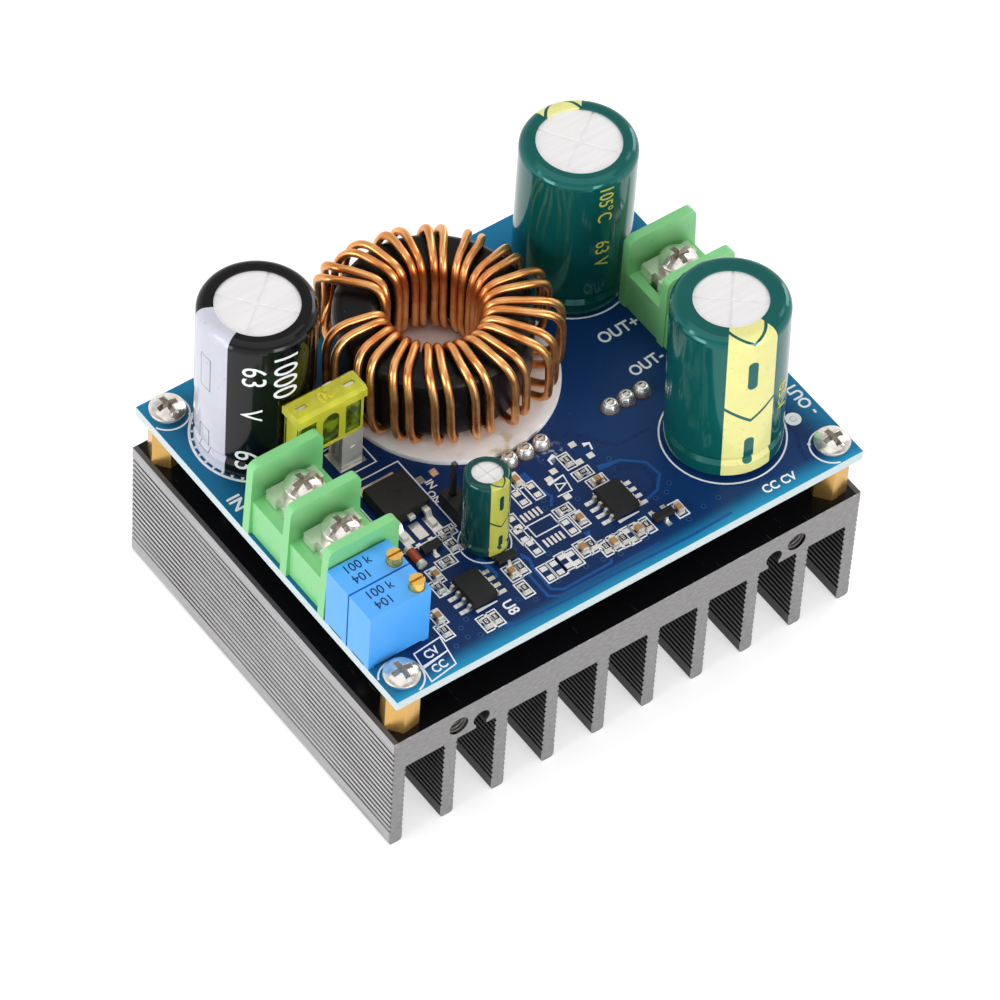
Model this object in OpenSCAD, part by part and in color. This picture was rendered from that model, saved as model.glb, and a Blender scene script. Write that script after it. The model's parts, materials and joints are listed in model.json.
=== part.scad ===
// Step-up power converter: a finned heatsink carries a circuit board on four pillars.
// X runs across the fins, Y along them and Z up from the fin tips. Units are millimetres.

/* [Heatsink] */
// Width across the fins
sink_w = 76; // [74:0.5:90]
// Length along the fins
sink_l = 60; // [58:0.5:80]
// Height from the fin tips to the top face
sink_h = 21.6; // [17:0.1:35]
// Thickness of the base plate
sink_base_t = 5.9; // [5.6:0.1:9]
// Number of fins
fin_count = 10; // [7:1:12]
// Thickness of a fin
fin_t = 2.05; // [1.7:0.05:2.6]
// Corner radius at a fin's tip
fin_tip_r = 0.6; // [0.2:0.1:0.8]
// Spacing of the fine grooves down a fin's side
groove_pitch = 1.02; // [0.8:0.02:1.5]
// Width of a groove at its mouth
groove_w = 0.5; // [0.3:0.05:0.7]
// Depth of a groove
groove_depth = 0.25; // [0.1:0.05:0.4]
// Plain band below the top face on the outer sides
groove_top_band = 2.1; // [1:0.1:4]
// Plain band at a fin's tip and root
groove_tip_band = 2.3; // [1.5:0.1:4]
// Diameter of the tapped holes in the end faces
end_hole_d = 3; // [2:0.1:3.4]
// Depth of the tapped holes in the end faces
end_hole_depth = 12; // [6:1:25]
// Depth of the end holes below the top face
end_hole_drop = 3.4; // [3:0.1:3.6]
// Distance of the screw channel from the middle of its gap between two fins
channel_side = 0.75; // [0:0.05:1]
// Distance from the screw channel to the end hole beside it
channel_shift = 3.7; // [3.4:0.1:4]
// Diameter of the screw channel
channel_d = 2.6; // [2:0.1:3]
// Width of the screw channel's mouth
channel_mouth = 1.7; // [1.2:0.1:2]
// Height of the screw channel's centre above the plate's underside
channel_rise = 1.6; // [1.2:0.1:2]

/* [Board] */
// Inset of the board's edge from the heatsink's edge
board_inset = 0.25; // [0:0.05:0.6]
// Thickness of the board
board_t = 1.6; // [1:0.1:2.4]
// Inset of the corner screws from the board's left and right edges
corner_inset_x = 2.9; // [2.6:0.1:3.4]
// Inset of the corner screws from the board's front and back edges
corner_inset_y = 3.1; // [2.7:0.1:3.4]
// Height of the hexagonal pillars under the board
standoff_h = 6.8; // [6:0.1:12]
// Width of a pillar across its flats
standoff_af = 4.6; // [4.5:0.1:5.5]
// Turn of a pillar's flats
standoff_turn = 8; // [0:1:60]
// Diameter of the corner screws and pillar studs
corner_screw_d = 3; // [2.5:0.1:3.2]
// Length of a corner screw below its head
corner_screw_l = 6; // [4:0.5:7]
// Length of a pillar's stud in the heatsink
stud_l = 4.5; // [3:0.1:5]
// Diameter of a corner screw's head
corner_head_d = 5; // [4.6:0.1:5.6]
// Height of a corner screw's head
corner_head_h = 1.9; // [1.5:0.1:2.4]
// Diameter of a through-hole solder pad
pad_d = 2; // [1.7:0.1:2.2]
// Height of a solder joint
solder_h = 1; // [0.6:0.1:1.3]
// Diameter of a solder bead on a power device's lead
bead_d = 2.4; // [2:0.1:2.5]
// Height of a solder bead
bead_h = 1.4; // [1:0.1:1.6]
// Length of a lead below the board
lead_stub = 1.5; // [1.2:0.1:2.5]

/* [Choke] */
// Distance of the choke's axis from the board's middle, across the fins
choke_x = -2; // [-2.5:0.1:0]
// Distance of the choke's axis from the board's middle, along the fins
choke_y = 13; // [11.5:0.1:13.5]
// Outer diameter of the core
core_od = 26.9; // [25:0.1:28]
// Inner diameter of the core
core_id = 14.5; // [14:0.1:16]
// Height of the core
core_h = 11.1; // [8:0.1:14]
// Rounding of the core's edges
core_edge_r = 1.4; // [0.8:0.1:2]
// Turns of wire round the core
turn_count = 15; // [10:1:15]
// Diameter of the enamelled wire
wire_d = 1.1; // [0.8:0.05:1.15]
// Gap between the wire and the core
wire_gap = 0.2; // [0.15:0.05:0.4]
// Arc of the core that the winding covers
winding_arc = 325; // [320:1:335]
// Direction of the bare stretch between the winding's ends
winding_gap_at = 141; // [130:1:150]
// How far the loosest turns stand off the core
loose_turn = 2.8; // [0:0.1:3]
// How far a turn bows off the core's sides
wire_bow = 0.15; // [0.1:0.05:0.2]
// How far a turn arches over the core's top
wire_arch = 0.6; // [0.5:0.1:1]
// Diameter of the insulating disc under the choke
disc_d = 30.7; // [29:0.1:32]
// Thickness of the insulating disc
disc_t = 0.8; // [0.5:0.1:1.5]
// Offset of the disc from the choke's axis, across the fins
disc_shift_x = 1.4; // [0:0.1:1.6]
// Offset of the disc from the choke's axis, along the fins
disc_shift_y = -1.6; // [-1.8:0.05:0]

/* [Capacitors] */
// Diameter of the three large capacitors
cap_d = 16; // [15:0.1:16.2]
// Height of the three large capacitors
cap_h = 26; // [18:0.5:36]
// Diameter of the bare metal at the top of the input capacitor
input_disc_d = 11.4; // [9:0.1:12]
// Diameter of the bare metal at the top of the front output capacitor
output_front_disc_d = 10.1; // [9:0.1:12]
// Diameter of the bare metal at the top of the back output capacitor
output_back_disc_d = 11.6; // [9:0.1:12]
// Lean of the front output capacitor
output_front_lean = 1.9; // [0:0.1:1.9]
// Height at which the front output capacitor stands off the board
output_front_lift = 0.5; // [0:0.1:0.6]
// Wall of a capacitor's sleeve
sleeve_t = 0.25; // [0.15:0.05:0.4]
// Rounding of a large capacitor's shoulder
shoulder_r = 1.3; // [0.8:0.1:1.8]
// Depth of the crimp near a capacitor's base
crimp_depth = 0.35; // [0:0.05:0.6]
// Spacing of a large capacitor's leads
cap_lead_pitch = 7.5; // [5:0.1:8]
// Diameter of a large capacitor's leads
cap_lead_d = 0.8; // [0.6:0.05:0.9]
// Distance of the input capacitor's axis from the board's left edge
input_cap_edge = 10.45; // [9:0.05:11]
// Distance of an output capacitor's axis behind the output terminal's inner end
output_cap_set = 2.35; // [1:0.05:4]
// Diameter of the small capacitor
bias_cap_d = 6.3; // [5:0.1:6.4]
// Height of the small capacitor
bias_cap_h = 12.8; // [9:0.1:14]
// Diameter of the bare metal at the top of the small capacitor
bias_disc_d = 4.2; // [3:0.1:4.6]
// Spacing of the small capacitor's leads
bias_lead_pitch = 2.5; // [2:0.1:3]
// Diameter of the small capacitor's leads
bias_lead_d = 0.5; // [0.4:0.05:0.6]
// Lean of the small capacitor
bias_cap_lean = 5; // [0:1:5]

/* [Terminals] */
// Length of a terminal block from the board's edge inwards
term_l = 11.6; // [11:0.1:11.8]
// Spacing of the poles
pole_pitch = 8.5; // [8.3:0.1:8.6]
// Height of the barrier walls
wall_h = 13; // [11.5:0.1:16]
// Thickness of a barrier wall
wall_t = 1.35; // [1.1:0.05:1.4]
// Lean of a wall's outer edge from foot to top
wall_lean = 0.5; // [0:0.1:1]
// Rounding of a wall's top corners
wall_r = 1.2; // [0.5:0.1:2]
// Height of the block between the walls
term_base_h = 6.3; // [6:0.1:7]
// Distance of a screw's axis from the board's edge
pole_edge = 6; // [5.8:0.1:6.3]
// How far the output terminal stands out over the board's edge
output_overhang = 0.2; // [0:0.05:0.25]
// Thickness of the contact strip
contact_t = 1; // [0.7:0.05:1.1]
// Thickness of the clamp plate
clamp_t = 1; // [0.7:0.05:1.1]
// Length of the clamp plate
clamp_l = 6.4; // [6:0.1:6.8]
// Width of the clamp plate
clamp_w = 5.9; // [5.5:0.1:6.4]
// Diameter of a terminal screw's shank
term_screw_d = 3.4; // [2.9:0.1:3.6]
// Length of a terminal screw below its head
term_screw_l = 6; // [5:0.1:7]
// Diameter of a terminal screw's head
term_head_d = 5.2; // [4.8:0.1:5.8]
// Height of a terminal screw's head
term_head_h = 2.5; // [1.8:0.1:2.6]
// Middle of the output terminal, along the fins
output_term_y = 0.1; // [-0.5:0.1:0.5]

/* [Trimmers] */
// Gap between the front trimmer and the corner screw
trim_screw_gap = 0.85; // [0.3:0.05:1.2]
// Length of a trimmer's case
trim_l = 9.53; // [9:0.01:10]
// Width of a trimmer's case
trim_w = 4.7; // [4.5:0.01:4.8]
// Gap between the two trimmers
trim_gap = 0.28; // [0.02:0.01:0.4]
// Height of a trimmer's case
trim_h = 10.03; // [8:0.01:12]
// Height of the feet under a trimmer's case
trim_foot = 0.3; // [0.2:0.05:0.5]
// Diameter of a trimmer's adjuster
adjuster_d = 2.1; // [1.7:0.05:2.2]
// How far an adjuster stands out
adjuster_proud = 1.5; // [0.8:0.1:2]
// Depth of an adjuster in the case
adjuster_seat = 3; // [2:0.1:5]
// Distance of an adjuster's axis from the case's inner end
adjuster_end = 1.4; // [1.3:0.05:2]
// Distance of an adjuster's axis from the case's middle line
adjuster_side = 1.1; // [0:0.05:1.1]

/* [Fuse] */
// Length of the fuse's body
fuse_l = 10.9; // [10.5:0.1:11.2]
// Width of the fuse's body
fuse_w = 3.8; // [3.4:0.1:3.9]
// Height of the fuse's body
fuse_h = 8.5; // [7.5:0.1:9.5]
// Height of the fuse's top above the board
fuse_top = 15.2; // [14.8:0.1:17]
// Distance of the fuse's middle from the board's left edge
fuse_edge = 14.25; // [13.8:0.05:14.7]
// Wall of the fuse's body
fuse_wall = 0.7; // [0.5:0.05:0.9]
// Width of a fuse blade
blade_w = 2.8; // [2.5:0.1:3]
// Thickness of a fuse blade
blade_t = 0.8; // [0.6:0.05:0.9]
// Distance of a blade's middle from the fuse's middle
blade_x = 3.75; // [3.6:0.05:3.8]
// Width of a fuse clip
clip_l = 3.3; // [3:0.1:3.4]
// Depth of a fuse clip
clip_w = 2.9; // [2.6:0.1:3.1]
// Thickness of a clip's sheet
clip_t = 0.45; // [0.3:0.05:0.5]

/* [Power devices] */
// Width of a power device
device_w = 10.1; // [9.6:0.1:10.4]
// Length of a power device's moulded body
device_l = 9; // [8:0.1:10]
// Thickness of a power device's moulded body
device_t = 4.4; // [4:0.1:4.8]
// Length of a power device's metal tab beyond its body
tab_l = 6.3; // [5.8:0.1:7]
// Thickness of a power device's metal tab
tab_t = 1.3; // [1:0.1:1.5]
// Spacing of a power device's leads
device_lead_pitch = 2.6; // [2.5:0.05:2.7]
// Line of the power devices' leads, along the fins
device_lead_y = -5.2; // [-5.6:0.1:-4.8]
// Middle of the switching transistor, across the fins
transistor_x = 0.35; // [-0.5:0.05:1]
// Middle of the rectifier, across the fins
rectifier_x = 16.85; // [16.2:0.05:17.5]
// Thickness of the thermal pads
thermal_pad_t = 0.25; // [0.15:0.05:0.5]

/* [Small parts] */
// Length of a chip part
chip_l = 1.6; // [1.4:0.05:1.8]
// Width of a chip part
chip_w = 0.8; // [0.6:0.05:0.9]
// Height of a chip resistor
resistor_h = 0.45; // [0.35:0.05:0.6]
// Height of a chip capacitor
chip_cap_h = 0.75; // [0.6:0.05:0.9]
// Length of a chip part's metal end
chip_end = 0.3; // [0.2:0.05:0.4]
// Width of a controller's body
ic_w = 3.9; // [3.6:0.1:4.2]
// Length of a controller's body
ic_l = 4.9; // [4.6:0.1:5.2]
// Height of a controller's body
ic_h = 1.45; // [1.2:0.05:1.7]
// Span of a controller over its lead tips
ic_span = 6; // [5.8:0.1:6.2]
// Spacing of a controller's leads
ic_pitch = 1.27; // [1.2:0.01:1.3]
// Width of the surface-mounted switch's body
dpak_w = 6.5; // [6.2:0.1:6.7]
// Length of the surface-mounted switch's body
dpak_l = 6.1; // [5.8:0.1:6.2]
// Height of the surface-mounted switch's body
dpak_h = 2.3; // [2.1:0.1:2.5]

/* [Fits] */
// Radial clearance of a part that turns or slides
turn_fit = 0.05; // [0.02:0.01:0.1]
// Radial clearance of a lead or stud in its hole
lead_fit = 0.1; // [0.05:0.01:0.2]
// Gap between neighbouring parts on the board
part_gap = 0.35; // [0.2:0.05:0.45]

/* [Hidden] */
$fn = 48;
eps = 0.01;
arc_steps = 5;

// Levels
sink_root = sink_h - sink_base_t;
fin_pitch = (sink_w - fin_t) / (fin_count - 1);
channel_x = (sink_w - fin_t - 3 * fin_pitch) / 2 - channel_side;
end_hole_x = channel_x + channel_shift;
board_bottom = sink_h + standoff_h;
board_top = board_bottom + board_t;
lead_bottom = board_bottom - lead_stub;

// Board outline and its four screws
board_w = sink_w - 2 * board_inset;
board_l = sink_l - 2 * board_inset;
corner_x = board_w / 2 - corner_inset_x;
corner_y = board_l / 2 - corner_inset_y;
corner_spots = [for (sx = [-1, 1], sy = [-1, 1]) [sx * corner_x, sy * corner_y]];

// Choke levels and the route of its wire
core_bottom = board_top + disc_t + wire_d + 2 * wire_gap;
loop_mid_r = (core_od + core_id) / 4;
loop_mid_z = core_bottom + core_h / 2;
loop_half_r = (core_od - core_id) / 4 + wire_gap + wire_d / 2 + wire_bow;
loop_half_z = core_h / 2 + wire_gap + wire_d / 2;
loop_points = 16;
top_power = 3.6;
bottom_power = 4.5;
wire_sides = 6;
turn_step = winding_arc / turn_count;
pair_half_inner = turn_step * 0.24;
pair_half_outer = turn_step * 0.19;
winding_start = winding_gap_at - (360 - winding_arc) / 2 - pair_half_inner;
last_loop_point = (turn_count - 1) * loop_points + loop_points / 2;

// Places on the board
term_half = pole_pitch + wall_t / 2;
input_cap_side = 170;
output_cap_side = 10;
left_edge = -board_w / 2;
right_end = board_w / 2 + output_overhang;
trim_front = -corner_y + corner_head_d / 2 + trim_screw_gap;
trim_ys = [trim_front + trim_w * 1.5 + trim_gap, trim_front + trim_w / 2];
trim_x = left_edge + trim_l / 2;
adjuster_x = trim_x + trim_l / 2 - adjuster_end;
input_term_y = trim_front + 2 * trim_w + trim_gap + part_gap + term_half;
fuse_low_set = 0.3;
panel_share = 0.4;
fuse_x = left_edge + fuse_edge;
fuse_y = input_term_y + term_half + part_gap + fuse_w / 2;

// The input capacitor keeps clear of the rear corner screw
input_cap_y = fuse_y + fuse_w / 2 + part_gap + cap_d / 2;
cap_screw_space = cap_d / 2 + corner_head_d / 2 + part_gap;
cap_screw_x = sqrt(max(0, pow(cap_screw_space, 2) - pow(corner_y - input_cap_y, 2)));
input_cap = [max(left_edge + input_cap_edge, cap_screw_x - corner_x), input_cap_y];

// The choke keeps clear of the input capacitor, and the output capacitors of the choke and their terminal
choke_space = cap_d / 2 + choke_reach(input_cap_side) + part_gap;
choke_mid_x = max(choke_x, input_cap[0] + sqrt(pow(choke_space, 2) - pow(input_cap_y - choke_y, 2)));
output_inner = right_end - term_l;
output_cap_x = max(output_inner - output_cap_set,
                   choke_mid_x + choke_reach(output_cap_side) + part_gap + cap_d / 2);
output_set = max(0, output_inner - output_cap_x);
output_cap_gap = sqrt(pow(cap_d / 2 + part_gap, 2) - pow(output_set, 2));
output_cap_front = [output_cap_x, output_term_y - term_half - output_cap_gap];
output_cap_back = [output_cap_x, output_term_y + term_half + output_cap_gap];

// The insulating disc keeps clear of the transistor's solder beads and the back output capacitor
bead_gap = 0.02;
disc_y = max(choke_y + disc_shift_y, device_lead_y + (disc_d + bead_d) / 2 + bead_gap);
disc_space = (disc_d + cap_d) / 2 + part_gap;
disc_x = min(choke_mid_x + disc_shift_x,
             output_cap_x - sqrt(pow(disc_space, 2) - pow(output_cap_back[1] - disc_y, 2)));
header_edge = 24.85;
header_x = left_edge + header_edge;
header_pitch = 2.54;
header_y = -7.15;
header_ys = [header_y, header_y - header_pitch];
header_h = 2.5;
header_pin = 0.64;
header_pin_h = 8.8;
bias_cap = [header_x, header_ys[1] - header_pitch / 2 - part_gap - bias_cap_d / 2];
bias_lean_to = 65;
bias_gap = 0.05;
bias_lift = bias_cap_d / 2 * sin(bias_cap_lean) + bias_gap;
output_front_lean_to = 110;
output_front_base = cap_d / 2 * sin(output_front_lean) + output_front_lift;

// Small parts beside the input terminal: place from the left edge, along the fins, and turn
left_resistors = [
    [26.15, -20.5, 90], [24.55, -23.7, 90], [21.65, -10.3, 0], [21.05, -12.5, 90], [18.75, -14.4, 0],
    [18.55, -25.5, 90], [17.15, -25.5, 90], [11.85, -23.6, 90], [15.4, -17.4, 90]
];
left_chip_caps = [[24.75, -20.6, 90], [16.25, -15.5, 90], [12.45, -21.3, 90]];
left_sots = [[18.35, -11.5, 0], [25.35, -18.35, 0]];

// Small parts in the middle of the board: place from the middle and turn
middle_resistors = [
    [4.1, -9.4, 90], [4.6, -12.2, 0], [-1.2, -15.9, 0], [-1.7, -22.6, 90], [-0.3, -24, 90],
    [2.4, -24.1, 90], [6.3, -24, 90]
];
middle_chip_caps = [
    [5.4, -14.3, 0], [-0.3, -18.3, 90], [-2.9, -22.5, 90], [1, -24, 90], [5, -24, 90],
    [11.5, -24.1, 90], [-3.5, -8.4, 90]
];
middle_sots = [[9, -24, 0]];
function from_left(spots) = [for (p = spots) [left_edge + p[0], p[1], p[2]]];
resistor_spots = concat(from_left(left_resistors), middle_resistors);
chip_cap_spots = concat(from_left(left_chip_caps), middle_chip_caps);
sot_spots = concat(from_left(left_sots), middle_sots);
controller_spots = [[5.3, -18.7], [left_edge + 18.85, -20.5]];
sot_w = 1.3;
sot_l = 2.9;
sot_h = 1;
sot_span = 2.4;
dpak_edge = 18.8;
dpak_x = left_edge + dpak_edge;
dpak_y = -2.95;
dpak_lead_pitch = 2.3;
diode_edge = 15.55;
diode_x = left_edge + diode_edge;
diode_y = -11.9;
diode_d = 1.4;
diode_l = 3.4;
diode_end = 0.55;
diode_glass_set = 0.05;
chip_lift = 0.03;

// Terminal details, measured from a pole's axis
contact_set = 0.15;
contact_half = clamp_l / 2 - contact_set;
contact_w = 5;
contact_leg_w = 1.6;
contact_pin = 1;
leg_slot_l = 2;
clamp_lip_t = 0.6;
clamp_lip_gap = 0.1;
clamp_lip_drop = contact_t - clamp_lip_gap;
clamp_notch = 1.4;
term_base_set = 0.6;
term_inner_set = 0.25;
screw_well_room = 0.25;
screw_well_d = term_screw_d + 2 * screw_well_room;
contact_leg_x = contact_half - contact_t;

// Power device details
device_lead_reach = 2.8;
device_lead_rise = 2.5;
device_y = device_lead_y + device_lead_reach;
device_base = sink_h + thermal_pad_t;
tab_hole_d = 3.6;
tab_hole_y = device_y + device_l + tab_l / 2;
device_screw_d = 3;
device_screw_l = 6.5;
device_lead_z = device_base + device_lead_rise;
device_lead_w = 0.8;
device_lead_t = 0.5;
bush_d = 6;
bush_t = 0.6;
device_xs = [transistor_x, rectifier_x];

// Through-hole leads: place and radius, and height above the board for a capacitor's
cap_bung_h = 2;
bias_bung_h = 1;
cap_lead_h = output_front_base + cap_bung_h / 3;
bias_lead_h = bias_lift + bias_bung_h / 3;
cap_lead_spots = [
    for (c = [input_cap, output_cap_front, output_cap_back], s = [-1, 1])
        [c[0] + s * cap_lead_pitch / 2, c[1], cap_lead_d / 2, cap_lead_h]
];
bias_lead_spots = [
    for (s = [-1, 1])
        [bias_cap[0] + s * bias_lead_pitch / 2, bias_cap[1], bias_lead_d / 2, bias_lead_h]
];
contact_pin_spots = [
    for (side = [-1, 1], i = [-1, 1])
        let (pole = pole_spot(side, i))
        [pole[0] - side * (contact_leg_x + contact_t / 2), pole[1], corner_reach(contact_t, contact_pin)]
];
trim_pin_d = 0.6;
trim_pin_pitch = 2.54;
trim_pin_spots = [for (y = trim_ys, i = [-1, 0, 1]) [trim_x + i * trim_pin_pitch, y, trim_pin_d / 2]];
clip_leg_spots = [
    for (s = [-1, 1], sy = [-1, 1])
        [fuse_x + s * blade_x, fuse_y + sy * (clip_w - clip_t) / 2, clip_t]
];
device_lead_spots = [
    for (x = device_xs, i = [-1, 0, 1])
        [x + i * device_lead_pitch, device_lead_y, corner_reach(device_lead_w, device_lead_t)]
];
choke_lead_spots = [
    for (s = [-1, 1], p = [strand_point(s, 0), strand_point(s, last_loop_point)]) [p[0], p[1], wire_d / 2]
];
header_spots = [for (y = header_ys) [header_x, y, corner_reach(header_pin, header_pin)]];
lower_joint_spots = concat(cap_lead_spots, bias_lead_spots, contact_pin_spots, trim_pin_spots, clip_leg_spots,
                           choke_lead_spots, header_spots);
lead_holes = concat(lower_joint_spots, device_lead_spots);

// Distance from the middle of a flat lead to its corners
function corner_reach(width, thickness) = norm([width, thickness]) / 2;

// Axis of a terminal screw: side -1 is the input, i is 1 for the rear pole and -1 for the front one
function pole_spot(side, i) =
    [side < 0 ? left_edge + pole_edge : right_end - pole_edge,
     (side < 0 ? input_term_y : output_term_y) + i * pole_pitch / 2];

// Points of an arc, from angle a0 to angle a1
function arc(cx, cy, r, a0, a1) =
    [for (k = [0 : arc_steps]) let (a = a0 + (a1 - a0) * k / arc_steps) [cx + r * cos(a), cy + r * sin(a)]];

// Where the grooves of a side lie, from the top down
function groove_levels(high, low) =
    [for (k = [0 : floor((high - low - groove_w) / groove_pitch)]) high - groove_w / 2 - k * groove_pitch];

// A grooved side that faces left, drawn downwards
function left_side(x, high, low) =
    [for (z = groove_levels(high, low))
        each [[x, z + groove_w / 2], [x + groove_depth, z], [x, z - groove_w / 2]]];

// A grooved side that faces right, drawn upwards
function right_side(x, high, low) =
    let (levels = groove_levels(high, low), n = len(levels))
    [for (k = [0 : n - 1]) let (z = levels[n - 1 - k])
        each [[x, z - groove_w / 2], [x - groove_depth, z], [x, z + groove_w / 2]]];

// One fin of the heatsink's section, from its left root round its tip to its right root
function fin_outline(i) =
    let (
        x0 = -sink_w / 2 + i * fin_pitch,
        x1 = x0 + fin_t,
        left_top = i == 0 ? sink_h : sink_root,
        right_top = i == fin_count - 1 ? sink_h : sink_root,
        left_high = left_top - (i == 0 ? groove_top_band : groove_w),
        right_high = right_top - (i == fin_count - 1 ? groove_top_band : groove_w)
    )
    concat(
        [[x0, left_top]],
        left_side(x0, left_high, groove_tip_band),
        arc(x0 + fin_tip_r, fin_tip_r, fin_tip_r, 180, 270),
        arc(x1 - fin_tip_r, fin_tip_r, fin_tip_r, 270, 360),
        right_side(x1, right_high, groove_tip_band),
        [[x1, right_top]]
    );

// Extruded heatsink with tapped holes in its front end and top
module heatsink() {
    color([0.12, 0.12, 0.13])
    difference() {
        rotate([90, 0, 0])
            linear_extrude(sink_l, center = true)
                polygon([for (i = [0 : fin_count - 1]) each fin_outline(i)]);
        for (sx = [-1, 1]) {
            translate([sx * end_hole_x, -sink_l / 2, sink_h - end_hole_drop])
                rotate([90, 0, 0])
                    cylinder(d = end_hole_d, h = 2 * end_hole_depth, center = true);
            translate([sx * channel_x, 0, sink_root]) {
                translate([0, 0, channel_rise])
                    rotate([90, 0, 0])
                        cylinder(d = channel_d, h = sink_l + 2, center = true);
                translate([0, 0, channel_rise / 2 - eps])
                    cube([channel_mouth, sink_l + 2, channel_rise], center = true);
            }
        }
        for (p = corner_spots)
            translate([p[0], p[1], sink_h - stud_l - lead_fit])
                cylinder(d = corner_screw_d + 2 * lead_fit, h = stud_l + 1);
        for (x = device_xs)
            translate([x, tab_hole_y, device_base + tab_t + bush_t - device_screw_l - lead_fit])
                cylinder(d = device_screw_d + 2 * lead_fit, h = device_screw_l);
    }
}

// Hexagonal pillars with a stud below and a tapped hole above
module standoffs() {
    color([0.78, 0.6, 0.25])
    for (p = corner_spots)
        translate([p[0], p[1], sink_h])
            difference() {
                union() {
                    rotate([0, 0, standoff_turn])
                        cylinder(d = standoff_af / cos(30), h = standoff_h, $fn = 6);
                    translate([0, 0, -stud_l])
                        cylinder(d = corner_screw_d, h = stud_l + eps);
                }
                translate([0, 0, standoff_h + board_t - corner_screw_l - lead_fit])
                    cylinder(d = corner_screw_d + 2 * lead_fit, h = corner_screw_l);
            }
}

// Circuit board, drilled for its screws and leads
module board() {
    color([0.04, 0.2, 0.45])
    difference() {
        translate([-board_w / 2, -board_l / 2, board_bottom])
            cube([board_w, board_l, board_t]);
        for (p = corner_spots)
            translate([p[0], p[1], board_bottom - 1])
                cylinder(d = corner_screw_d + 3 * lead_fit, h = board_t + 2);
        for (p = lead_holes)
            translate([p[0], p[1], board_bottom - 1])
                cylinder(r = p[2] + lead_fit, h = board_t + 2, $fn = 24);
    }
}

// Screw head with a narrower foot, a short rim and a domed top with a cross recess
module pan_head(d, h) {
    r = d / 2;
    foot_r = r * 0.8;
    rim_low = h * 0.35;
    dome_h = h * 0.4;
    dome_r = (r * r + dome_h * dome_h) / (2 * dome_h);
    dome_start = asin((dome_r - dome_h) / dome_r);
    recess_l = d * 0.6;
    recess_w = d * 0.16;
    recess_h = h * 0.6;
    difference() {
        rotate_extrude()
            polygon(concat([[0, 0], [foot_r, 0], [r, rim_low]], arc(0, h - dome_r, dome_r, dome_start, 90)));
        for (turn = [0, 90])
            rotate([0, 0, turn])
                translate([-recess_l / 2, -recess_w / 2, h - recess_h])
                    cube([recess_l, recess_w, h]);
    }
}

// Corner screws that hold the board to its pillars
module board_screws() {
    color("silver")
    for (p = corner_spots)
        translate([p[0], p[1], board_top]) {
            pan_head(corner_head_d, corner_head_h);
            translate([0, 0, -corner_screw_l])
                cylinder(d = corner_screw_d, h = corner_screw_l + eps);
        }
}

// Insulating sheets between the power devices and the heatsink
module thermal_pads() {
    color([0.75, 0.75, 0.72])
    for (x = device_xs)
        difference() {
            translate([x - device_w / 2 - part_gap, device_y - part_gap, sink_h])
                cube([device_w + 2 * part_gap, device_l + tab_l + 2 * part_gap, thermal_pad_t]);
            translate([x, tab_hole_y, sink_h - 1])
                cylinder(d = device_screw_d + 3 * lead_fit, h = thermal_pad_t + 2);
        }
}

// Moulded body of a power device, standing on its tab, with bevelled long edges
module device_body(x) {
    bevel = 0.5;
    half = device_w / 2;
    top = device_t - tab_t;
    color([0.1, 0.1, 0.1])
    translate([x, device_y + device_l, device_base + tab_t])
        rotate([90, 0, 0])
            linear_extrude(device_l)
                polygon([[-half, 0], [half, 0], [half, top - bevel], [half - bevel, top],
                         [bevel - half, top], [-half, top - bevel]]);
}

// Metal tab of a power device and the three leads that rise through the board
module device_leads(x) {
    lead_share = 0.9;
    lead_top = board_top + bead_h * lead_share;
    color([0.7, 0.7, 0.72]) {
        difference() {
            translate([x - device_w / 2, device_y, device_base])
                cube([device_w, device_l + tab_l, tab_t]);
            translate([x, tab_hole_y, device_base - 1])
                cylinder(d = tab_hole_d, h = tab_t + 2);
        }
        for (i = [-1, 0, 1])
            translate([x + i * device_lead_pitch - device_lead_w / 2, 0, 0]) {
                translate([0, device_lead_y - device_lead_t / 2, device_lead_z])
                    cube([device_lead_w, device_y - device_lead_y + device_lead_t / 2, device_lead_t]);
                translate([0, device_lead_y - device_lead_t / 2, device_lead_z])
                    cube([device_lead_w, device_lead_t, lead_top - device_lead_z]);
            }
    }
}

module transistor_body() { device_body(transistor_x); }
module transistor_leads() { device_leads(transistor_x); }
module rectifier_body() { device_body(rectifier_x); }
module rectifier_leads() { device_leads(rectifier_x); }

// Shouldered bushes that keep the screws clear of the tabs
module insulating_bushes() {
    color([0.85, 0.85, 0.8])
    for (x = device_xs)
        translate([x, tab_hole_y, device_base])
            difference() {
                union() {
                    translate([0, 0, tab_t])
                        cylinder(d = bush_d, h = bush_t);
                    cylinder(d = tab_hole_d - 2 * lead_fit, h = tab_t + eps);
                }
                translate([0, 0, -1])
                    cylinder(d = device_screw_d + lead_fit, h = tab_t + bush_t + 2);
            }
}

// Screws that clamp the power devices to the heatsink
module device_screws() {
    color("silver")
    for (x = device_xs)
        translate([x, tab_hole_y, device_base + tab_t + bush_t]) {
            pan_head(corner_head_d, corner_head_h);
            translate([0, 0, -device_screw_l])
                cylinder(d = device_screw_d, h = device_screw_l + eps);
        }
}

// Insulating disc under the choke, pierced for its leads
module choke_base() {
    color([0.92, 0.92, 0.9])
    difference() {
        translate([disc_x, disc_y, board_top])
            cylinder(d = disc_d, h = disc_t, $fn = 96);
        for (p = choke_lead_spots)
            translate([p[0], p[1], board_top - 1])
                cylinder(r = p[2] + lead_fit, h = disc_t + 2, $fn = 24);
    }
}

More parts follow.
